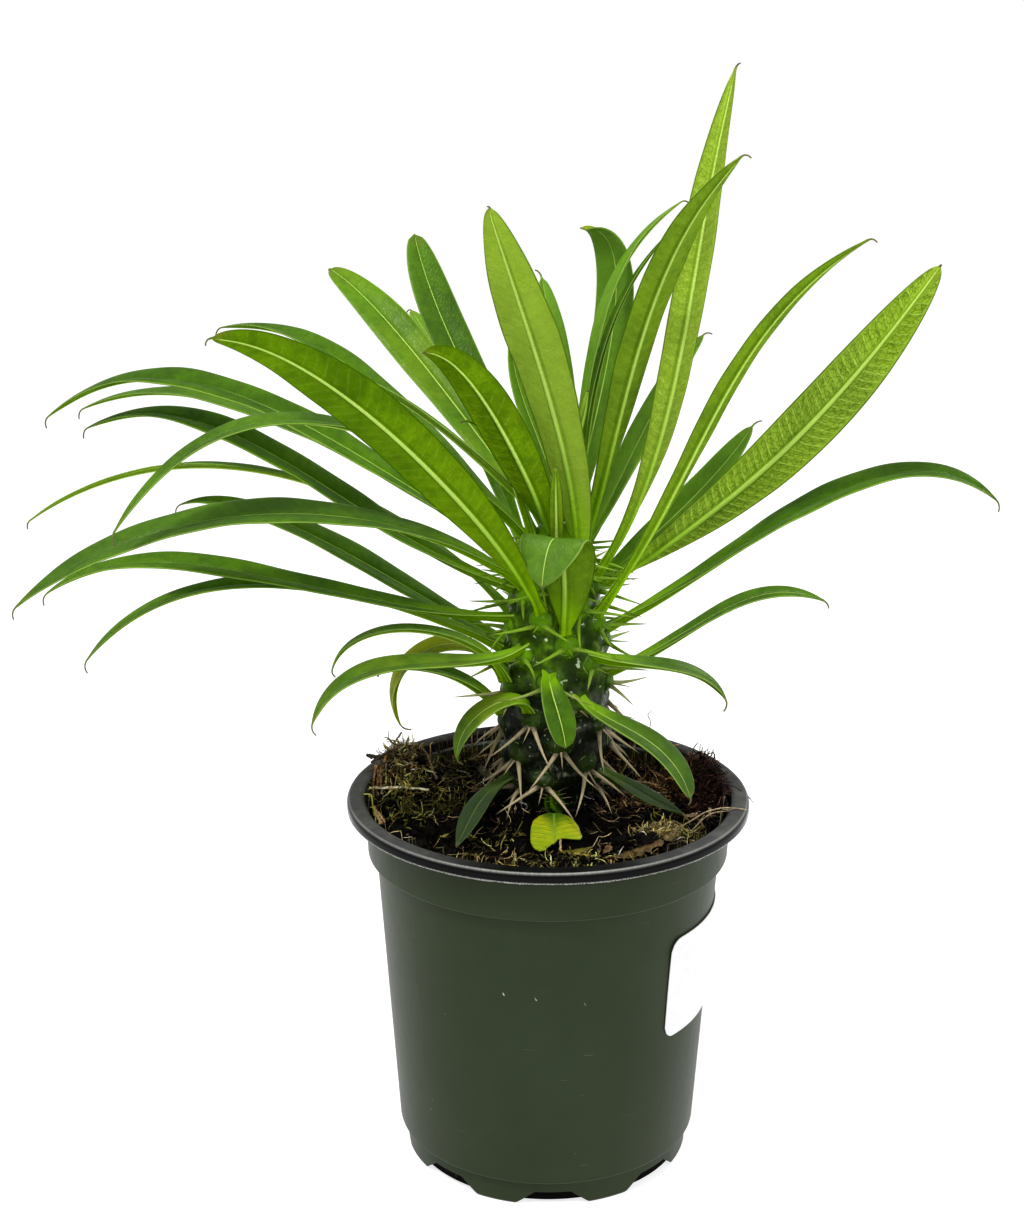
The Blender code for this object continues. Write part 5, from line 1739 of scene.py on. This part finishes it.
def leaf_skin(name, settings, under):
    """Leaf skin: pale rib, slanting side veins, a net between them, light margins, stalk and hook.

    With far the distance from the rib, a side vein lies at each whole pitch of the distance along
    the rib, less 0.15 far and less 0.42 far squared over the half-width, and it wanders by noise.
    The tone lays a pale bloom or a deep green over the blade, and the stains lay a waxy film on it.
    """
    g = Graph(name, 0.48 if under else 0.3, 0.04 if under else 0.12)
    t, mm, half = g.parts(g.mark("blade"))
    share, tone, yellow = g.parts(g.mark("growth"))
    stains, quilting, number = g.parts(g.mark("extra"))
    t = abs(t)
    far = t * half
    pitch = settings.vein_pitch / MM
    wander = (g.noise(75, 1) - 0.5) * 2.2 + g.noise(24, 1) * 7.0
    along = mm - far * 0.15 - far * far / half * 0.42 + wander
    to_vein = along.fold(pitch / 2)
    inner = t.step(0.99, 0.8) * far.step(0.6, 1.6)
    net = g.net(0.58, g.vector(far, along, number))
    cloud = g.noise(38, 4, 0.6)
    fine = g.noise(420, 3, 0.6)

    g.base = settings.under_colour if under else settings.upper_colour
    pale = settings.rib_colour
    bloom, bright, deep = UNDER_SHADES if under else UPPER_SHADES
    bloomed = tone.step(0.0, 1.0)
    uneven = 1.0 - bloomed * 0.7
    g.paint(bloomed, bloom)
    g.paint(tone.step(0.0, -1.0), deep)
    g.paint(cloud.step(0.4, 0.75) * 0.4, bright)
    g.paint(cloud.step(0.55, 0.3) * uneven * 0.45, deep)
    g.paint(g.noise(240, 4, 0.7).step(0.58, 0.36) * uneven * 0.3, deep)

    shown = inner * (0.05 + quilting)
    g.paint(to_vein.step(pitch * 0.2, pitch * 0.5) * shown * 0.16, deep)
    g.paint(to_vein.step(pitch * 0.42, 0.0) * shown * 0.22, bright)
    g.paint(net.step(0.11, 0.02) * shown * (0.62 if under else 0.2), deep)
    vein = to_vein.step(0.42, 0.05) * (0.45 + g.noise(210, 3, 0.7).step(0.4, 0.6) * 0.55)
    g.paint(vein * shown * (0.75 if under else 0.5), pale if under else bright)
    g.paint(yellow * (g.noise(60, 3) + yellow * 0.4).step(0.4, 0.75), settings.yellow_colour)
    stalk = (mm + far * 5.0).step(62.0, 8.0) * share.step(0.42, 0.12)
    g.paint(stalk * 0.85, settings.stalk_colour)

    wide = half * 0.05 + 0.52 if under else half * 0.01 + 0.27
    off_rib = far / (wide * (1.1 - share * 0.72))
    rib_tint = g.mix(share.step(0.0, 0.5), settings.stalk_colour, pale)
    g.paint(off_rib.step(1.15, 0.7) * half.step(0.4, 2.6), rib_tint)
    if under:
        # Painted shade: a darker band in the trench on each side of the rib.
        g.paint(off_rib.band(1.1, 1.4, 1.6, 2.9) * 0.45, deep)
    margin = t.step(0.955, 0.99) * half.step(0.8, 2.0)
    g.paint(margin * (0.75 if under else 0.35), deep if under else pale)
    g.paint(tone.step(-0.9, -1.0) * (0.55 + cloud * 0.3), DULL_LEAF)
    rough = None
    if not under:
        streak = g.noise(2.4, 4, 0.7, at=g.vector(far * 0.9, mm * 0.07, number)).step(0.56, 0.7)
        film = streak * g.noise(140, 4, 0.7).step(0.5, 0.68) * stains
        g.paint(film * 0.5 + stains * 0.09, WAX)
        rough = 0.3 + film * 0.25
    g.paint(share.step(0.95, 1.0) * fine.step(0.4, 0.7) * 0.6, DRY_TIP)
    g.paint(share.step(0.997, 1.06), settings.dead_colour)

    swell = g.math("SINE", to_vein * (math.pi / pitch)) * inner * (0.06 + quilting * 0.8)
    relief = swell * (-1.0 if under else 1.0) + fine * 0.28
    relief = relief + net.step(0.0, 0.3) * (-0.3 if under else 0.2)
    g.glow_through(g.mix(0.35, g.base, LIT_THROUGH), 0.34)
    return g.finished(relief, 0.00036, rough)


class PALM_OT_leaves(bpy.types.Operator):
    """Grow every leaf from its tubercle"""

    bl_idname = "palm.leaves"
    bl_label = "Leaves"

    def execute(self, context):
        settings = context.scene.palm_leaf
        looks = [
            leaf_skin("leaf upper side", settings, under=False),
            leaf_skin("leaf underside", settings, under=True),
        ]
        for name, leaf in LEAVES.items():
            finish = FINISHES.get(name, Finish())
            shape, under = leaf_surface(name, leaf, finish, settings.vein_pitch / MM)
            make(f"palm_{name}", shape, looks, (name,), look_of_face=under)
        return {"FINISHED"}


# ---------------------------------------------------------------- spines and the shoot


def leaf_cloud():
    """Points spread over every leaf, which the spines keep clear of."""
    cloud = []
    for leaf in LEAVES.values():
        line, toward, _ = leaf_line(leaf, 90)
        _, across, upward = leaf_frame(line, toward, leaf.turn)
        half = blade_half(np.linspace(0, 1, 90), leaf)[:, None, None]
        t = np.linspace(-1, 1, 7)[None, :, None]
        lift = half * np.abs(t) * math.tan(math.radians(leaf.channel))
        blade = line[:, None] + across[:, None] * t * half + upward[:, None] * lift
        cloud.append(blade[4:].reshape(-1, 3))
    return np.concatenate(cloud)


def spine_directions(height):
    """Candidate slopes and swings for a tubercle's spines, the natural ones first."""
    droop = OLD_DROOP if height < OLD_BELOW else YOUNG_DROOP
    for extra in (0, -12, 12, -24, 24, -36, 36, -48, 48, 60):
        for swing in (0, 10, -10, 20, -20):
            yield droop + extra, swing


def spine_places():
    """(root, tip) of every spine: a spread pair and a short one on each tubercle, clear of the leaves."""
    cloud = leaf_cloud()
    found = []
    for number in range(TUBERCLES - SPINELESS_TIP):
        side, height = tubercle(number)
        grown = float(np.clip((SPINES_GROW_BELOW - height) / SPINES_GROWN_OVER, SPINE_LEAST, 1))
        root = on_stem(side, height - 1.5, -SPINE_ROOT)
        near = cloud[np.linalg.norm(cloud - root, axis=1) < SPINE_REACH]
        for spread, length in ((SPINE_SPREAD, SPINE_LONG), (-SPINE_SPREAD, SPINE_LONG), (0, SPINE_SHORT)):
            for slope, swing in spine_directions(height):
                way = heading(side + spread + swing, slope)
                tip = root + way * (length * grown + SPINE_ROOT)
                path = root + (tip - root) * np.linspace(0.15, 1.05, 16)[:, None]
                gaps = np.linalg.norm(near[None] - path[:, None], axis=2)
                low = tip[2] > SOIL_AT_STEM + 1.5
                if low and (not len(near) or gaps.min() > SPINE_CLEARANCE):
                    found.append((root, tip))
                    break
    return np.array(found)


def spine_surface(places, radius, seed):
    """Tapered thorns with a slight bow; radius falls from a swollen foot to a sharp point."""
    rng = np.random.default_rng(seed)
    count = len(places)
    share = np.linspace(0, 1, SPINE_ROWS)
    roots, tips = places[:, 0], places[:, 1]
    way = tips - roots
    length = np.linalg.norm(way, axis=1, keepdims=True)
    side = unit(np.cross(way, rng.normal(size=(count, 3))))
    bow = 0.045 * length * rng.uniform(-1, 1, (count, 1)) * side
    lines = roots[:, None] + share[None, :, None] * way[:, None]
    lines = lines + np.sin(np.pi * share)[None, :, None] * bow[:, None]
    taper = ((1 - share) ** 0.8 + 0.05) * (1 + 0.7 * np.exp(-share * 9))
    radii = radius * taper[None] * np.clip(length / 16, 0.6, 1.1)
    shape = strands(lines, radii, np.zeros((count, 3)), SPINE_SIDES)
    age = eased(roots[:, 2], 206.0, 176.0)[:, None, None]
    chance = rng.uniform(0, 1, (count, 1, 1))
    growth = stacked(share[None, :, None] + np.zeros(SPINE_SIDES), age, chance)
    return Shape(shape.points, shape.faces, {"growth": growth.reshape(-1, 3)})


def spine_horn(settings):
    """Horn: yellow-green and glossy when young, dry tan when old, dark at the foot and the point."""
    g = Graph("spine horn", 0.4, 0.2)
    share, age, chance = g.parts(g.mark("growth"))
    old = g.mix(chance * 0.5, settings.old_colour, GREY_HORN)
    g.base = g.mix(age, settings.young_colour, old)
    foot = (share + g.noise(300, 2) * 0.12).step(0.32, 0.16)
    g.paint(foot * (0.35 + age * 0.55), HORN_FOOT)
    g.paint(share.step(0.72, 1.0) * 0.85, settings.tip_colour)
    grain = g.noise(900, 3, 0.7)
    g.paint(grain.step(0.4, 0.75) * age * 0.35, HORN_GRAIN)
    return g.finished(grain, 0.0002, 0.34 + age * 0.2)


def shoot_surface():
    """The bud: rings that swell and close, with small scales raised in a spiral of cosines."""
    foot, tip = np.array(SHOOT_FOOT), np.array(SHOOT_TIP)
    foot = foot + (foot - tip) * 0.25
    way = unit(tip - foot)
    level = unit(np.cross(way, [1.0, 0.0, 0.0]))
    other = np.cross(way, level)
    share = np.linspace(0, 1, 26)[:, None]
    angle = turns(36)[None]
    wide = np.interp(share, (0, 0.35, 0.6, 0.8, 0.93, 1.0), (1.0, 1.05, 0.85, 0.5, 0.2, 0.03))
    spiral = np.cos(5 * angle + 9 * share)
    scales = 1 + 0.16 * spiral * np.sin(np.pi * share)
    ring = np.cos(angle)[..., None] * level + np.sin(angle)[..., None] * other
    rings = foot + share[..., None] * (tip - foot) + ring * (SHOOT_RADIUS * wide * scales)[..., None]
    return skin(rings, rise=0.5 + 0.4 * spiral)


def shoot_spines():
    """(root, tip) of the bud's own small spines, fanned round it."""
    foot, tip = np.array(SHOOT_FOOT), np.array(SHOOT_TIP)
    found = []
    for index in range(SHOOT_SPINES):
        share = 0.1 + 0.8 * index / (SHOOT_SPINES - 1)
        out = heading(180 + GOLDEN_ANGLE * index % 180, 8 + 30 * share)
        root = foot + (tip - foot) * share + out * SHOOT_RADIUS * (0.9 - 0.6 * share)
        found.append((root, root + out * (4.6 + 1.2 * (index % 3 - 1))))
    return np.array(found)


def torn_leaf_surface():
    """The shoot's torn leaf: rows between two edges, arched by a half sine, with veins pressed in."""
    ys, lefts, rights = np.array(TORN_LEAF)[::-1].T
    y = np.linspace(ys[-1], ys[0], 90)[:, None]
    left = np.interp(y, ys, lefts)
    right = np.interp(y, ys, rights)
    right = right + 0.5 * lattice_noise(stacked(y, 0, 0), 1.4, 61) * eased(y, -28.0, -30.0)
    x = left + (right - left) * np.linspace(0, 1, 26)
    arch = 1.1 * np.sin(np.pi * np.clip((x + 7.5) / 20.0, 0, 1))
    from_rib = np.abs(x - TORN_RIB_X)
    veins = 0.07 * np.cos(2 * np.pi * (y - 0.5 * from_rib) / TORN_VEIN_PITCH)
    groove = -0.3 * np.exp(-((from_rib / 0.7) ** 2))
    ridge = 0.6 * np.exp(-((from_rib / 0.9) ** 2))
    base = soil_height(x, y) + 0.9 + arch + veins
    rings = np.concatenate([stacked(x, y, base - 0.6 - ridge), stacked(x, y, base + groove)[:, ::-1]], 1)
    both = np.concatenate([x, x[:, ::-1]], 1)
    return skin(rings, blade=stacked(both, y, 0))


def torn_leaf_skin():
    """Yellowing leaf: lime at its edge, green along its rib and veins, with small brown spots."""
    g = Graph("yellowing leaf", 0.34, 0.4)
    x, y, _ = g.parts(g.mark("blade"))
    from_rib = abs(x - TORN_RIB_X)
    vein = (y - from_rib * 0.5).fold(TORN_VEIN_PITCH / 2).step(0.4, 0.08)
    g.base = g.mix(g.noise(110, 3, 0.6).step(0.4, 0.7), LIME, YELLOW_LIME)
    g.paint((from_rib - (y + 17.0) * 0.45).step(7.5, 1.5), TORN_GREEN)
    g.paint(vein * 0.14, TORN_VEIN)
    g.paint(from_rib.step(0.7, 0.2), TORN_RIB)
    g.glow_through(g.base, 0.25)
    g.paint(g.noise(260, 2).step(0.72, 0.78) * 0.35, BROWN_SPOT)
    return g.finished(g.noise(300, 3) - vein * 0.5, 0.0004)


class PALM_OT_spines(bpy.types.Operator):
    """Set the spines on their tubercles, and the shoot with its torn leaf at the stem's foot"""

    bl_idname = "palm.spines"
    bl_label = "Spines and shoot"

    def execute(self, context):
        settings = context.scene.palm_spine
        horn = spine_horn(settings)
        shape = spine_surface(spine_places(), settings.radius / MM, 71)
        make("stem_spines", shape, [horn])
        green = bark("shoot skin", context.scene.palm_stem, ageing=0.0)
        make("basal_shoot", shoot_surface(), [green])
        small = spine_surface(shoot_spines(), 0.32, 72)
        make("shoot_spines", small, [horn])
        make("palm_torn_leaf", torn_leaf_surface(), [torn_leaf_skin()], ("torn_leaf",))
        return {"FINISHED"}


# ---------------------------------------------------------------- stage


LAMP_AIM = (0.0, 0.0, 0.22)
LAMPS = (  # name, place, size, share of the key's power
    ("key", (-0.5, -0.7, 1.5), 0.9, 0.85),
    ("spark", (-0.35, -0.65, 1.3), 0.13, 0.42),
    ("fill", (0.9, -0.9, 0.8), 0.7, 0.3),
    ("rim", (0.9, 0.9, 1.1), 0.9, 0.5),
)
VIEW_GAMMA = 0.86


def lamp(name, place, size, power):
    """A square soft lamp facing the plant's middle."""
    data = bpy.data.lights.new(name, "AREA")
    data.shape = "SQUARE"
    data.size = size
    data.energy = power
    made = bpy.data.objects.new(name, data)
    made.location = place
    made.rotation_euler = (Vector(LAMP_AIM) - Vector(place)).to_track_quat("-Z", "Y").to_euler()
    bpy.context.scene.collection.objects.link(made)


def surround(tree, horizon, sky):
    """A white surround, brightest at the horizon and dimmer overhead."""
    background = tree.nodes["Background"]
    background.inputs["Color"].default_value = (1.0, 1.0, 1.0, 1.0)
    way = tree.nodes.new("ShaderNodeTexCoord")
    parts = tree.nodes.new("ShaderNodeSeparateXYZ")
    rise = tree.nodes.new("ShaderNodeMapRange")
    rise.interpolation_type = "SMOOTHSTEP"
    rise.inputs["From Min"].default_value = 0.02
    rise.inputs["From Max"].default_value = 0.3
    rise.inputs["To Min"].default_value = horizon
    rise.inputs["To Max"].default_value = sky
    tree.links.new(way.outputs["Generated"], parts.inputs[0])
    tree.links.new(parts.outputs["Z"], rise.inputs["Value"])
    tree.links.new(rise.outputs["Result"], background.inputs["Strength"])


class PALM_OT_stage(bpy.types.Operator):
    """Set the plain floor, the soft lights and the camera"""

    bl_idname = "palm.stage"
    bl_label = "Stage"

    def execute(self, context):
        settings = context.scene.palm_stage
        reach = settings.floor_radius
        mesh = bpy.data.meshes.new("floor")
        corners = [(-reach, -reach, 0.0), (reach, -reach, 0.0), (reach, reach, 0.0), (-reach, reach, 0.0)]
        mesh.from_pydata(corners, [], [(0, 1, 2, 3)])
        floor = bpy.data.objects.new("floor", mesh)
        context.scene.collection.objects.link(floor)
        g = Graph("lit floor", 0.8, 0.1)
        g.put(g.shader.inputs["Base Color"], settings.floor_colour)
        g.shader.inputs["Emission Color"].default_value = (1.0, 1.0, 1.0, 1.0)
        g.shader.inputs["Emission Strength"].default_value = settings.floor_glow
        mesh.materials.append(g.material)
        world = bpy.data.worlds.new("white surround")
        world.use_nodes = True
        surround(world.node_tree, settings.horizon, settings.sky)
        context.scene.world = world
        for name, place, size, share in LAMPS:
            lamp(name, place, size, settings.key_power * share)
        data = bpy.data.cameras.new("camera")
        data.lens = settings.lens
        data.clip_start = 0.01
        camera = bpy.data.objects.new("camera", data)
        aim = Vector(settings.aim)
        back = Vector((0.0, -math.cos(settings.pitch), math.sin(settings.pitch)))
        camera.location = aim + back * settings.distance
        camera.rotation_euler = (aim - camera.location).to_track_quat("-Z", "Y").to_euler()
        context.scene.collection.objects.link(camera)
        context.scene.camera = camera
        context.scene.view_settings.view_transform = "Standard"
        context.scene.view_settings.gamma = VIEW_GAMMA
        return {"FINISHED"}


# ---------------------------------------------------------------- panel and registration


class PALM_PT_panel(bpy.types.Panel):
    """Lists the plant's pieces and their settings"""

    bl_idname = "PALM_PT_panel"
    bl_label = "Potted palm"
    bl_space_type = "VIEW_3D"
    bl_region_type = "UI"
    bl_category = "Palm"

    def draw(self, context):
        for piece, group, _ in PIECES:
            box = self.layout.box()
            box.operator(piece.bl_idname)
            settings = getattr(context.scene, group)
            for key in type(settings).__annotations__:
                box.prop(settings, key)


PIECES = (
    (PALM_OT_stage, "palm_stage", StageSettings),
    (PALM_OT_pot, "palm_pot", PotSettings),
    (PALM_OT_label, "palm_label", LabelSettings),
    (PALM_OT_soil, "palm_soil", SoilSettings),
    (PALM_OT_litter, "palm_litter", LitterSettings),
    (PALM_OT_stem, "palm_stem", StemSettings),
    (PALM_OT_spines, "palm_spine", SpineSettings),
    (PALM_OT_leaves, "palm_leaf", LeafSettings),
)


def register():
    """Registers the settings, the operators and the panel."""
    for piece, name, settings in PIECES:
        bpy.utils.register_class(settings)
        setattr(bpy.types.Scene, name, PointerProperty(type=settings))
        bpy.utils.register_class(piece)
    bpy.utils.register_class(PALM_PT_panel)


def unregister():
    """Takes back what register did, in the opposite order."""
    bpy.utils.unregister_class(PALM_PT_panel)
    for piece, name, settings in reversed(PIECES):
        bpy.utils.unregister_class(piece)
        delattr(bpy.types.Scene, name)
        bpy.utils.unregister_class(settings)


def main():
    register()
    bpy.ops.palm.stage()
    bpy.ops.palm.pot()
    bpy.ops.palm.label()
    bpy.ops.palm.soil()
    bpy.ops.palm.litter()
    bpy.ops.palm.stem()
    bpy.ops.palm.spines()
    bpy.ops.palm.leaves()


if __name__ == "__main__":
    main()
